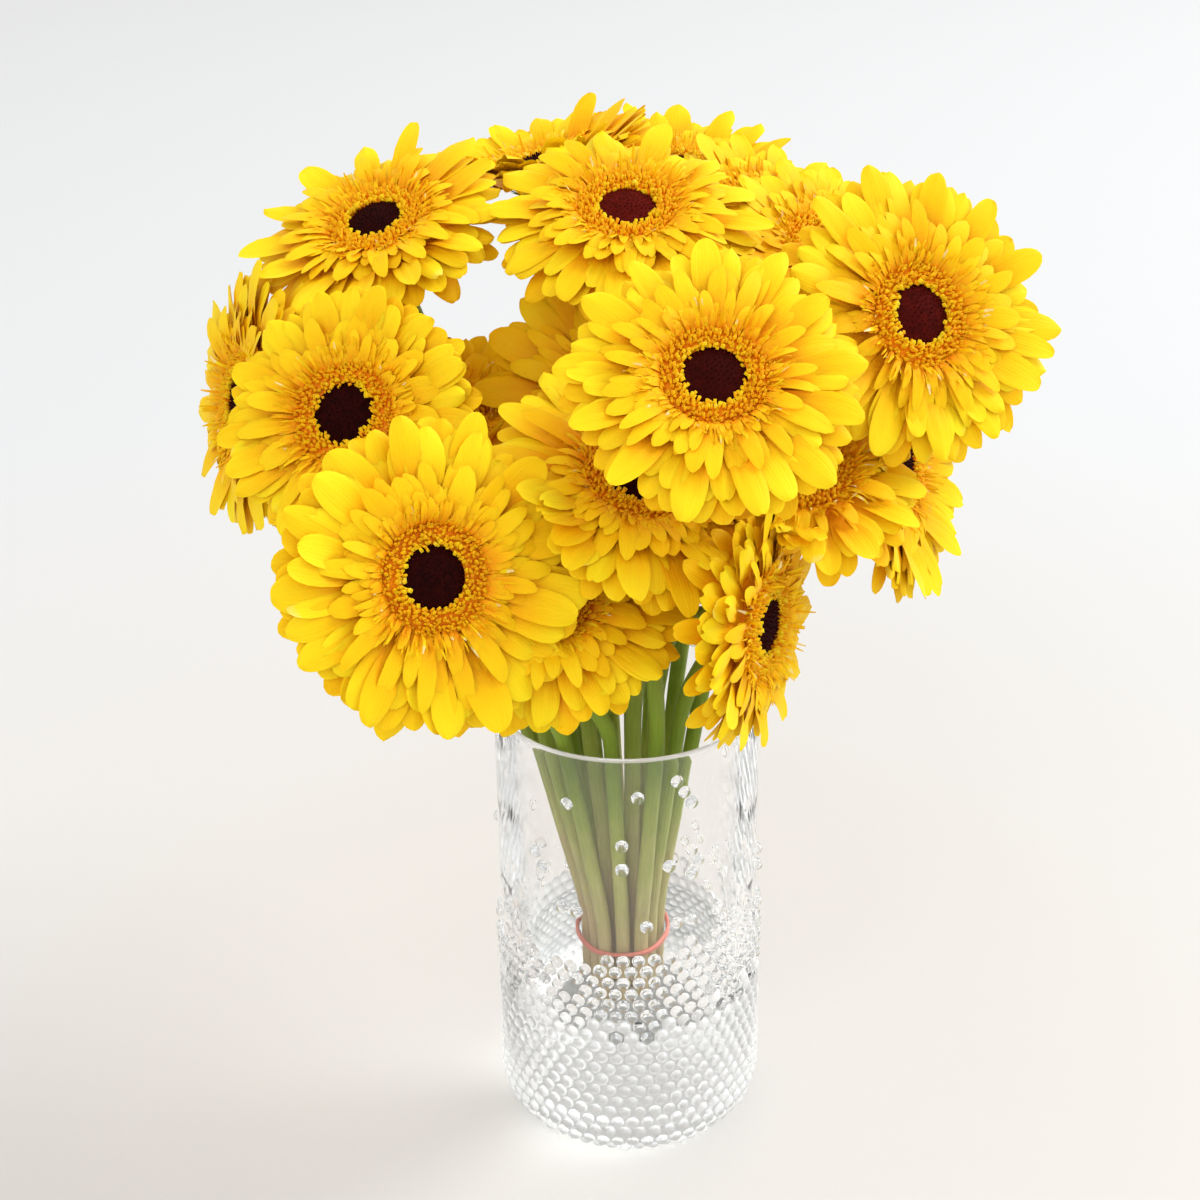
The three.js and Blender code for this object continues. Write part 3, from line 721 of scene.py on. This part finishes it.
class VaseSkin:
    """The points and faces of a vessel that grows ring by ring"""

    def __init__(self):
        self.points, self.faces, self.creased, self.coats = [], [], [], []
        self.coat = CLEAR

    def add(self, points, is_creased=False):
        first = len(self.points)
        self.points += points
        self.creased += [is_creased] * len(points)
        return list(range(first, len(self.points)))

    def face(self, *corners):
        self.faces.append(list(corners))
        self.coats.append(self.coat)

    def ring(self, radius, height, is_creased=False):
        angles = [step / VASE_STEPS * TURN for step in range(VASE_STEPS)]
        points = [[radius * math.cos(angle), radius * math.sin(angle), height] for angle in angles]
        return self.add(points, is_creased)

    def join(self, low, high):
        for step in range(VASE_STEPS):
            after = (step + 1) % VASE_STEPS
            self.face(low[step], low[after], high[after], high[step])

    def rings_on(self, line, profile):
        """Rings over a profile of (radius, height), joined to the line and to each other"""
        for radius, height in profile:
            ring = self.ring(radius, height)
            self.join(line, ring)
            line = ring
        return line

    def fan(self, ring, middle, is_up):
        (centre,) = self.add([middle])
        for step in range(VASE_STEPS):
            after = (step + 1) % VASE_STEPS
            here, there = (step, after) if is_up else (after, step)
            self.face(ring[here], ring[there], centre)

    def zigzag(self, row):
        """The line of cell corners over a row"""
        far, near = BEAD_PITCH / math.sqrt(3), BEAD_PITCH / math.sqrt(12)
        return self.add([
            on_outside(row * BEAD_ROW + (far if step % 2 == row % 2 else near), step / VASE_STEPS)
            for step in range(VASE_STEPS)])

    def plain_cell(self, row, step, corners):
        """A cell without a bead, whose middle keeps to the wall's curve"""
        (middle,) = self.add([on_outside(row * BEAD_ROW, step / VASE_STEPS)])
        for side in range(6):
            self.face(corners[side], corners[(side + 1) % 6], middle)

    def bead(self, row, step, corners):
        """A dome of glass in a cell of the wall, joined to the cell's six corners"""
        middle, turns = row * BEAD_ROW, step / VASE_STEPS
        girth = math.hypot(*on_outside(middle, 0)[:2])
        size = girth / VASE_RADIUS * chance.uniform(*BEAD_SIZES)
        middle += chance.uniform(-BEAD_SHIFT, BEAD_SHIFT)
        turns += chance.uniform(-BEAD_SHIFT, BEAD_SHIFT) / girth / TURN
        # Painted light: the low beads get the white finish, which stands in for the light that clear glass
        # beads gather, and the line rises at the sides
        lit_white_top = LIT_WHITE_TOP + LIT_WHITE_RISE * math.cos(turns * TURN) ** 2
        is_lit_white = BASE_ROUND + middle < lit_white_top + chance.uniform(-LIT_WHITE_BLUR, LIT_WHITE_BLUR)
        bulge = BEAD_HEIGHT * size * (chance.uniform(*LIT_WHITE_BULGES) if is_lit_white else 1)
        rings = []
        for level in map(math.radians, DOME_LEVELS):
            reach, out = BEAD_RADIUS * size * math.cos(level), bulge * math.sin(level)
            angles = [(side + 1) / DOME_SIDES * TURN for side in range(DOME_SIDES)]
            spots = [(reach * math.cos(angle) / girth / TURN, reach * math.sin(angle)) for angle in angles]
            rings.append(self.add(
                [on_outside(middle + up, turns + aside, out) for aside, up in spots], level == 0))
        foot = rings[0]
        self.coat = FROSTED_AND_LIT_WHITE if is_lit_white else CLEAR
        for side in range(6):
            here, there = corners[side], corners[(side + 1) % 6]
            first, second, third = foot[2 * side], foot[2 * side + 1], foot[(2 * side + 2) % DOME_SIDES]
            self.face(here, there, second)
            self.face(here, second, first)
            self.face(there, third, second)
        self.coat = FROSTED_AND_LIT_WHITE if is_lit_white else BEADED
        for low, high in zip(rings, rings[1:]):
            for side in range(DOME_SIDES):
                after = (side + 1) % DOME_SIDES
                self.face(low[side], low[after], high[after], high[side])
        (top,) = self.add([on_outside(middle, turns, bulge)])
        for side in range(DOME_SIDES):
            self.face(rings[-1][side], rings[-1][(side + 1) % DOME_SIDES], top)
        self.coat = CLEAR

    def piece(self, *how):
        whole = Skin()
        whole.add(self.points, self.faces, rim=np.array(self.creased), coats=self.coats)
        return whole.piece(*how)

    def wall(self):
        """The outside, from the middle of the underside up: a flat ring, the rounded foot
        and the wall, in six-sided cells that are flat or hold a bead"""
        single = single_cells()
        line = self.ring(VASE_RADIUS - BASE_ROUND, 0)
        # The underside gets the white finish: partly ground glass, partly painted light that brightens the
        # base
        self.coat = FROSTED_AND_LIT_WHITE
        self.fan(line, [0, 0, 0], False)
        above = self.zigzag(LOWEST_BEADS - 1)
        self.join(line, above)
        self.coat = CLEAR
        last = int((VASE_HEIGHT - BASE_ROUND) / BEAD_ROW) - 1
        for row in range(LOWEST_BEADS, last + 1):
            line, above = above, self.zigzag(row)
            for step in range(row % 2, VASE_STEPS, 2):
                before, after = (step - 1) % VASE_STEPS, (step + 1) % VASE_STEPS
                corners = [above[after], above[step], above[before], line[before], line[step], line[after]]
                if (row, step) in single or has_bead(row, step):
                    self.bead(row, step, corners)
                else:
                    self.plain_cell(row, step, corners)
        return above


def make_vase(materials):
    """The glass: a rounded thick foot, a wall with beads stuck on it, and a ground lip"""
    skin = VaseSkin()
    line = skin.wall()
    skin.coat = LIP
    for i in range(LIP_STEPS + 1):
        angle = i / LIP_STEPS * math.pi
        ring = skin.ring(
            VASE_RADIUS - WALL / 2 + WALL / 2 * math.cos(angle),
            VASE_HEIGHT - WALL / 2 + WALL / 2 * math.sin(angle))
        if i == 0:
            skin.coat = CLEAR
        skin.join(line, ring)
        skin.coat = LIP
        line = ring
    skin.coat = CLEAR
    middle, height = VASE_RADIUS - WALL - WELL_ROUND, VASE_FLOOR + WELL_ROUND
    angles = [i / ROUND_STEPS * math.pi / 2 for i in range(ROUND_STEPS + 1)]
    line = skin.rings_on(line, [
        (middle + WELL_ROUND * math.cos(angle), height - WELL_ROUND * math.sin(angle)) for angle in angles])
    skin.fan(line, [0, 0, VASE_FLOOR], True)
    return skin.piece("vase_glass", materials, "glass", ["vase"])


SEEP = 0.1  # the water is this much wider than the inside of the glass, so that no air shows


def make_water(material):
    """The water that the stems stand in"""
    skin = VaseSkin()
    radius, well = VASE_RADIUS - WALL + SEEP, WELL_ROUND + SEEP
    line = skin.ring(radius - well, VASE_FLOOR - SEEP)
    skin.fan(line, [0, 0, VASE_FLOOR - SEEP], False)
    angles = [i / ROUND_STEPS * math.pi / 2 for i in range(1, ROUND_STEPS + 1)]
    line = skin.rings_on(line, [
        (radius - well + well * math.sin(angle), VASE_FLOOR - SEEP + well - well * math.cos(angle))
        for angle in angles])
    surface = skin.ring(radius, WATER_LEVEL, True)
    skin.join(line, surface)
    skin.fan(surface, [0, 0, WATER_LEVEL], True)
    return skin.piece("water_fill", [material], "water", ["water"])


# ---- The rubber band ------------------------------------------------------------------

BAND_STRAND = 0.95
BAND_STEPS = 96
BAND_SIDES = 8
BAND_TURNS = 2
BAND_SWING = 1.15  # how far each turn lies over or under the middle
BAND_TILT = math.radians(3)


def band_outline(step, reach):
    """A point of the outline round the tied stems, from its middle. Reach is its half widths."""
    angle = step / BAND_STEPS * TURN
    six_sided = 1 + 0.012 * math.cos(6 * angle)
    return reach[0] * six_sided * math.cos(angle), reach[1] * six_sided * math.sin(angle)


def make_band(material):
    """The band: two turns of round rubber that cross once at the front"""
    low, high = box_in_mm("rubber_band")
    middle, reach = (low + high) / 2, (high - low)[:2] / 2 - BAND_STRAND
    count = BAND_STEPS * BAND_TURNS
    skin = Skin()
    line = []
    for step in range(count):
        across, ahead = band_outline(step, reach)
        swing = BAND_SWING * math.sin(step / count * TURN + 0.8)
        tilt = ahead * math.tan(BAND_TILT)
        line.append(middle + [across, ahead, swing + tilt])
    line = np.array(line)
    points = []
    for step in range(count):
        heading = line[(step + 1) % count] - line[step - 1]
        heading /= np.linalg.norm(heading)
        side = np.cross(heading, [0, 0, 1])
        side /= np.linalg.norm(side)
        over = np.cross(heading, side)
        for corner in range(BAND_SIDES):
            angle = corner / BAND_SIDES * TURN
            points.append(line[step] + BAND_STRAND * (math.cos(angle) * side + math.sin(angle) * over))
    skin.add(points, tube_faces(count, BAND_SIDES, is_loop=True))
    return skin.piece("rubber_band_turns", [material], "rubber_band", ["rubber_band"])


# ---- Finishes -------------------------------------------------------------------------

def new_group(name, inputs, outputs):
    """A shader node group with named sockets, and its two end nodes"""
    tree = bpy.data.node_groups.new(name, "ShaderNodeTree")
    for label, kind, value in inputs:
        socket = tree.interface.new_socket(name=label, in_out="INPUT", socket_type=f"NodeSocket{kind}")
        if value is not None:
            socket.default_value = value
    for label, kind in outputs:
        tree.interface.new_socket(name=label, in_out="OUTPUT", socket_type=f"NodeSocket{kind}")
    return tree, tree.nodes.new("NodeGroupInput"), tree.nodes.new("NodeGroupOutput")


def math_node(tree, operation, first, second=None, is_clamped=False):
    node = tree.nodes.new("ShaderNodeMath")
    node.operation = operation
    node.use_clamp = is_clamped
    for socket, value in zip(node.inputs, (first, second)):
        if isinstance(value, bpy.types.NodeSocket):
            tree.links.new(value, socket)
        elif value is not None:
            socket.default_value = value
    return node.outputs[0]


def noise_over(tree, given, detail):
    """A soft noise over the Place that a group is given, in the Size that it is given"""
    noise = tree.nodes.new("ShaderNodeTexNoise")
    noise.inputs["Detail"].default_value = detail
    tree.links.new(given.outputs["Place"], noise.inputs["Vector"])
    tree.links.new(given.outputs["Size"], noise.inputs["Scale"])
    return noise.outputs["Fac"]


def mottle_group():
    """Soft cloudy variation over a surface, between -Strength and +Strength"""
    tree, given, out = new_group(
        "cloudy_mottle",
        [("Place", "Vector", None), ("Size", "Float", 100.0), ("Strength", "Float", 0.1)],
        [("Value", "Float")])
    centred = math_node(tree, "SUBTRACT", noise_over(tree, given, 3), 0.5)
    doubled = math_node(tree, "MULTIPLY", centred, 2)
    tree.links.new(math_node(tree, "MULTIPLY", doubled, given.outputs["Strength"]), out.inputs["Value"])
    return tree


def veins_group():
    """Fine lines that run along a petal or a stem, from 0 between them to 1 on them"""
    tree, given, out = new_group(
        "lengthwise_veins",
        [("Own Map", "Vector", None), ("Across", "Float", 14.0), ("Along", "Float", 1.5)],
        [("Veins", "Float")])
    stretch = tree.nodes.new("ShaderNodeCombineXYZ")
    parts = tree.nodes.new("ShaderNodeSeparateXYZ")
    tree.links.new(given.outputs["Own Map"], parts.inputs[0])
    tree.links.new(math_node(tree, "MULTIPLY", parts.outputs[0], given.outputs["Across"]), stretch.inputs[0])
    tree.links.new(math_node(tree, "MULTIPLY", parts.outputs[1], given.outputs["Along"]), stretch.inputs[1])
    noise = tree.nodes.new("ShaderNodeTexNoise")
    noise.inputs["Scale"].default_value = 1
    noise.inputs["Detail"].default_value = 2
    tree.links.new(stretch.outputs[0], noise.inputs["Vector"])
    sharp = math_node(tree, "SUBTRACT", noise.outputs["Fac"], 0.42)
    tree.links.new(math_node(tree, "MULTIPLY", sharp, 3.2, True), out.inputs["Veins"])
    return tree


def grain_group():
    """Fine bumps of a soft or fuzzy surface, as a normal"""
    tree, given, out = new_group(
        "fine_grain",
        [("Place", "Vector", None), ("Size", "Float", 1500.0), ("Height", "Float", 0.0),
         ("Strength", "Float", 0.3)],
        [("Normal", "Vector")])
    fine = math_node(tree, "MULTIPLY", noise_over(tree, given, 2), 0.5)
    bump = tree.nodes.new("ShaderNodeBump")
    bump.inputs["Distance"].default_value = 0.0004
    tree.links.new(math_node(tree, "ADD", fine, given.outputs["Height"]), bump.inputs["Height"])
    tree.links.new(given.outputs["Strength"], bump.inputs["Strength"])
    tree.links.new(bump.outputs["Normal"], out.inputs["Normal"])
    return tree


MOTTLE, VEINS, GRAIN = mottle_group(), veins_group(), grain_group()


class Finish:
    """A material in the making, with its shader and the places that its patterns use"""

    def __init__(self, name):
        self.material = bpy.data.materials.new(name)
        self.material.use_nodes = True
        self.tree = self.material.node_tree
        self.shader = self.tree.nodes["Principled BSDF"]
        self.place = self.tree.nodes.new("ShaderNodeTexCoord").outputs["Object"]

    def set(self, **values):
        for label, value in values.items():
            self.shader.inputs[label.replace("_", " ")].default_value = value

    def link(self, source, label):
        self.tree.links.new(source, self.shader.inputs[label])

    def group(self, tree, **values):
        node = self.tree.nodes.new("ShaderNodeGroup")
        node.node_tree = tree
        for label, value in values.items():
            socket = node.inputs[label.replace("_", " ")]
            if isinstance(value, bpy.types.NodeSocket):
                self.tree.links.new(value, socket)
            else:
                socket.default_value = value
        return node.outputs[0]

    def mark(self, label):
        node = self.tree.nodes.new("ShaderNodeAttribute")
        node.attribute_name = label
        return node.outputs["Fac"]

    def own_map(self):
        node = self.tree.nodes.new("ShaderNodeUVMap")
        node.uv_map = "own_map"
        return node.outputs[0]

    def math(self, operation, first, second=None, is_clamped=False):
        return math_node(self.tree, operation, first, second, is_clamped)

    def cloudy(self, middle, size, strength):
        """A value that varies softly over the surface, about its middle"""
        value = self.group(MOTTLE, Place=self.place, Size=size, Strength=strength)
        return self.math("ADD", value, middle)

    def grown(self, tint_share, size, strength):
        """The warmth along each petal or leaf, varied from one to the next and over each"""
        warm = self.math("ADD", self.mark("warmth"), self.math("MULTIPLY", self.mark("tint"), tint_share))
        return self.cloudy(warm, size, strength)

    def grain(self, size, strength, height=0.0):
        """Gives the surface its fine bumps, over the height of its veins"""
        self.link(self.group(GRAIN, Place=self.place, Size=size, Height=height, Strength=strength), "Normal")

    def ramp(self, share, stops):
        node = self.tree.nodes.new("ShaderNodeValToRGB")
        points = node.color_ramp.elements
        while len(points) < len(stops):
            points.new(0.5)
        for point, (position, colour) in zip(points, stops):
            point.position = position
            point.color = (*colour, 1)
        self.tree.links.new(share, node.inputs[0])
        return node.outputs["Color"]

    def paint(self, colour):
        self.link(colour, "Base Color")

    def paint_between(self, first, second, size, strength):
        """Paints with a colour that varies softly between two"""
        self.paint(self.ramp(self.cloudy(0.5, size, strength), ((0.0, first), (1.0, second))))

    def roughen(self, middle, size, strength):
        """A roughness that varies softly about its middle"""
        self.link(self.cloudy(middle, size, strength), "Roughness")

    def darkened(self, colour, share, towards):
        """A colour mixed towards another by a share that changes over the surface"""
        node = self.tree.nodes.new("ShaderNodeMix")
        node.data_type = "RGBA"
        node.blend_type = "MULTIPLY"
        self.tree.links.new(share, node.inputs["Factor"])
        self.tree.links.new(colour, node.inputs["A"])
        node.inputs["B"].default_value = (*towards, 1)
        return node.outputs["Result"]

    def let_light_through(self, colour):
        """Lets lamps light what stands behind the glass"""
        path = self.tree.nodes.new("ShaderNodeLightPath")
        clear = self.tree.nodes.new("ShaderNodeBsdfTransparent")
        clear.inputs["Color"].default_value = (*colour, 1)
        mix = self.tree.nodes.new("ShaderNodeMixShader")
        self.tree.links.new(path.outputs["Is Shadow Ray"], mix.inputs[0])
        self.tree.links.new(self.shader.outputs[0], mix.inputs[1])
        self.tree.links.new(clear.outputs[0], mix.inputs[2])
        self.tree.links.new(mix.outputs[0], self.tree.nodes["Material Output"].inputs["Surface"])


def petal_finish():
    finish = Finish("yellow_petal")
    # The ramp runs from pale tips through yellow to orange. Its warmest stops, down to dark orange-brown,
    # are painted shade in the crown and at the roots
    colour = finish.ramp(finish.grown(0.07, 60.0, 0.09), (
        (0.0, (0.99, 0.82, 0.36)), (0.07, (0.99, 0.76, 0.012)), (0.35, (0.98, 0.58, 0.004)),
        (0.7, (0.92, 0.32, 0.004)), (1.0, (0.24, 0.05, 0.003))))
    veins = finish.group(VEINS, Own_Map=finish.own_map(), Across=16.0, Along=1.4)
    finish.paint(finish.darkened(colour, finish.math("MULTIPLY", veins, 0.25), (0.94, 0.8, 0.3)))
    finish.grain(1200.0, 0.3, finish.math("MULTIPLY", veins, -1.0))
    finish.roughen(0.55, 200.0, 0.08)
    finish.set(Subsurface_Weight=0.2, Subsurface_Radius=(1.0, 0.85, 0.3), Subsurface_Scale=0.0006)
    finish.set(Specular_IOR_Level=0.1)
    return finish.material


def disc_finish():
    finish = Finish("dark_disc")
    finish.paint(finish.ramp(finish.grown(0.1, 400.0, 0.2), (
        (0.0, (0.008, 0.001, 0.001)), (0.4, (0.05, 0.003, 0.002)), (1.0, (0.22, 0.012, 0.006)))))
    finish.grain(3000.0, 0.5)
    finish.roughen(0.85, 500.0, 0.1)
    finish.set(Specular_IOR_Level=0.05, Sheen_Weight=0.02, Sheen_Tint=(0.6, 0.05, 0.03, 1))
    return finish.material


def stem_finish():
    finish = Finish("green_stem")
    colour = finish.ramp(finish.grown(0.12, 45.0, 0.25), (
        (0.0, (0.22, 0.32, 0.02)), (0.25, (0.38, 0.45, 0.07)), (0.5, (0.54, 0.52, 0.17)),
        (0.8, (0.56, 0.42, 0.22))))
    veins = finish.group(VEINS, Own_Map=finish.own_map(), Across=26.0, Along=6.0)
    finish.paint(finish.darkened(colour, finish.math("MULTIPLY", veins, 0.35), (0.55, 0.62, 0.4)))
    finish.grain(1800.0, 0.5, finish.math("MULTIPLY", veins, -0.8))
    finish.roughen(0.55, 150.0, 0.1)
    finish.set(Subsurface_Weight=0.12, Subsurface_Radius=(0.5, 0.8, 0.2), Subsurface_Scale=0.002)
    finish.set(Sheen_Weight=0.1, Sheen_Tint=(0.85, 0.9, 0.6, 1), Specular_IOR_Level=0.3)
    return finish.material


def glass_finish(name, rough, transmission, colour, sparkle=0.0):
    """Clear glass, or glass that is partly white and diffuse and sparkles: ground at the lip, and painted
    light on the low beads and on the underside, which is partly ground as well
    """
    finish = Finish(name)
    if sparkle:
        finish.grain(420.0, sparkle)
    finish.roughen(rough, 25.0, rough)
    finish.paint_between(colour, (1.0, 1.0, 1.0), 12.0, 0.3)
    finish.set(Transmission_Weight=transmission, IOR=1.5)
    finish.let_light_through((0.985, 0.987, 0.987))
    return finish.material


def water_finish():
    finish = Finish("still_water")
    finish.roughen(0.006, 18.0, 0.006)
    finish.paint_between((0.992, 0.998, 0.996), (0.998, 1.0, 0.999), 9.0, 0.3)
    finish.set(Transmission_Weight=1.0, IOR=1.33)
    finish.let_light_through((0.99, 0.993, 0.993))
    return finish.material


def band_finish():
    finish = Finish("coral_rubber")
    finish.paint_between((0.62, 0.15, 0.11), (0.80, 0.27, 0.20), 160.0, 0.4)
    finish.grain(2500.0, 0.35)
    finish.roughen(0.5, 300.0, 0.1)
    return finish.material


# ---- Stage ----------------------------------------------------------------------------

def make_floor():
    """A wide pale floor, warm under the vase and cooler further off"""
    bpy.ops.mesh.primitive_circle_add(vertices=96, radius=6, fill_type="NGON")
    floor = bpy.context.object
    floor.name = "floor"
    finish = Finish("pale_floor")
    distance = finish.tree.nodes.new("ShaderNodeVectorMath")
    distance.operation = "LENGTH"
    finish.tree.links.new(finish.place, distance.inputs[0])
    far = finish.math("MULTIPLY", finish.math("SUBTRACT", distance.outputs["Value"], 0.25), 1.3, True)
    finish.paint(finish.ramp(far, ((0.0, (0.675, 0.655, 0.632)), (1.0, (0.655, 0.668, 0.685)))))
    finish.roughen(0.55, 6.0, 0.08)
    floor.data.materials.append(finish.material)


def add_softbox(name, place, aim, size, power, colour):
    light = bpy.data.lights.new(name, "AREA")
    light.shape = "RECTANGLE"
    light.size, light.size_y = size
    light.energy = power
    light.color = colour
    lamp = bpy.data.objects.new(name, light)
    lamp.location = place
    lamp.rotation_euler = (Vector(aim) - Vector(place)).to_track_quat("-Z", "Y").to_euler()
    bpy.context.scene.collection.objects.link(lamp)


def make_light():
    world = bpy.data.worlds.new("soft_room")
    world.use_nodes = True
    sky = world.node_tree.nodes["Background"]
    sky.inputs["Color"].default_value = (1.0, 0.975, 0.945, 1)
    sky.inputs["Strength"].default_value = 0.93
    bpy.context.scene.world = world
    heads = (0, 0, 0.33)
    add_softbox("window_light", (4.2, 1.4, 4.2), heads, (3.2, 3.2), 238, (0.95, 0.985, 1.0))
    add_softbox("front_fill", (-1.2, -2.6, 2.2), heads, (2.4, 2.0), 22, (0.95, 0.985, 1.0))


GLASS_BOUNCES = 40


def let_light_into_glass():
    """Enough bounces for light to find its way out of the glass again"""
    paths = bpy.context.scene.cycles
    paths.max_bounces = GLASS_BOUNCES
    paths.transmission_bounces = GLASS_BOUNCES
    paths.glossy_bounces = GLASS_BOUNCES
    paths.transparent_max_bounces = GLASS_BOUNCES


CAMERA_AIM = (-0.0112, 0.0, 0.262)
CAMERA_DISTANCE = 0.925
CAMERA_PITCH = 25.8
CAMERA_ROLL = -0.91
LENS = 63.0


def make_camera():
    """The photograph's camera, looking down on the bunch from the front"""
    pitch = math.radians(CAMERA_PITCH)
    back = Vector((0, -math.cos(pitch), math.sin(pitch)))
    lens = bpy.data.cameras.new("photo_camera")
    lens.lens = LENS
    lens.sensor_width = 36
    camera = bpy.data.objects.new("photo_camera", lens)
    camera.location = Vector(CAMERA_AIM) + back * CAMERA_DISTANCE
    turn = (-back).to_track_quat("-Z", "Y") @ Quaternion(UP, math.radians(CAMERA_ROLL))
    camera.rotation_euler = turn.to_euler()
    bpy.context.scene.collection.objects.link(camera)
    bpy.context.scene.camera = camera


# ---- The whole ------------------------------------------------------------------------

make_camera()
make_light()
make_floor()
let_light_into_glass()
bpy.context.scene.view_settings.view_transform = "Standard"

petal, dark, green = petal_finish(), disc_finish(), stem_finish()
for bloom in range(1, BLOOMS + 1):
    placed = head_frame(bloom)
    make_petals(bloom, placed, petal)
    make_disc(bloom, placed, dark)
    make_stem(bloom, placed, green)
make_vase((
    glass_finish("clear_glass", 0.01, 1.0, (0.998, 0.999, 0.999)),
    glass_finish("bead_glass", 0.02, 0.95, (0.99, 0.995, 0.995)),
    # The white of the low beads is painted light
    glass_finish("bead_glass_painted_light", 0.07, 0.5, (0.995, 0.997, 0.997), 1.0),
    glass_finish("ground_lip", 0.12, 0.5, (0.95, 0.96, 0.96)),
))
make_water(water_finish())
make_band(band_finish())
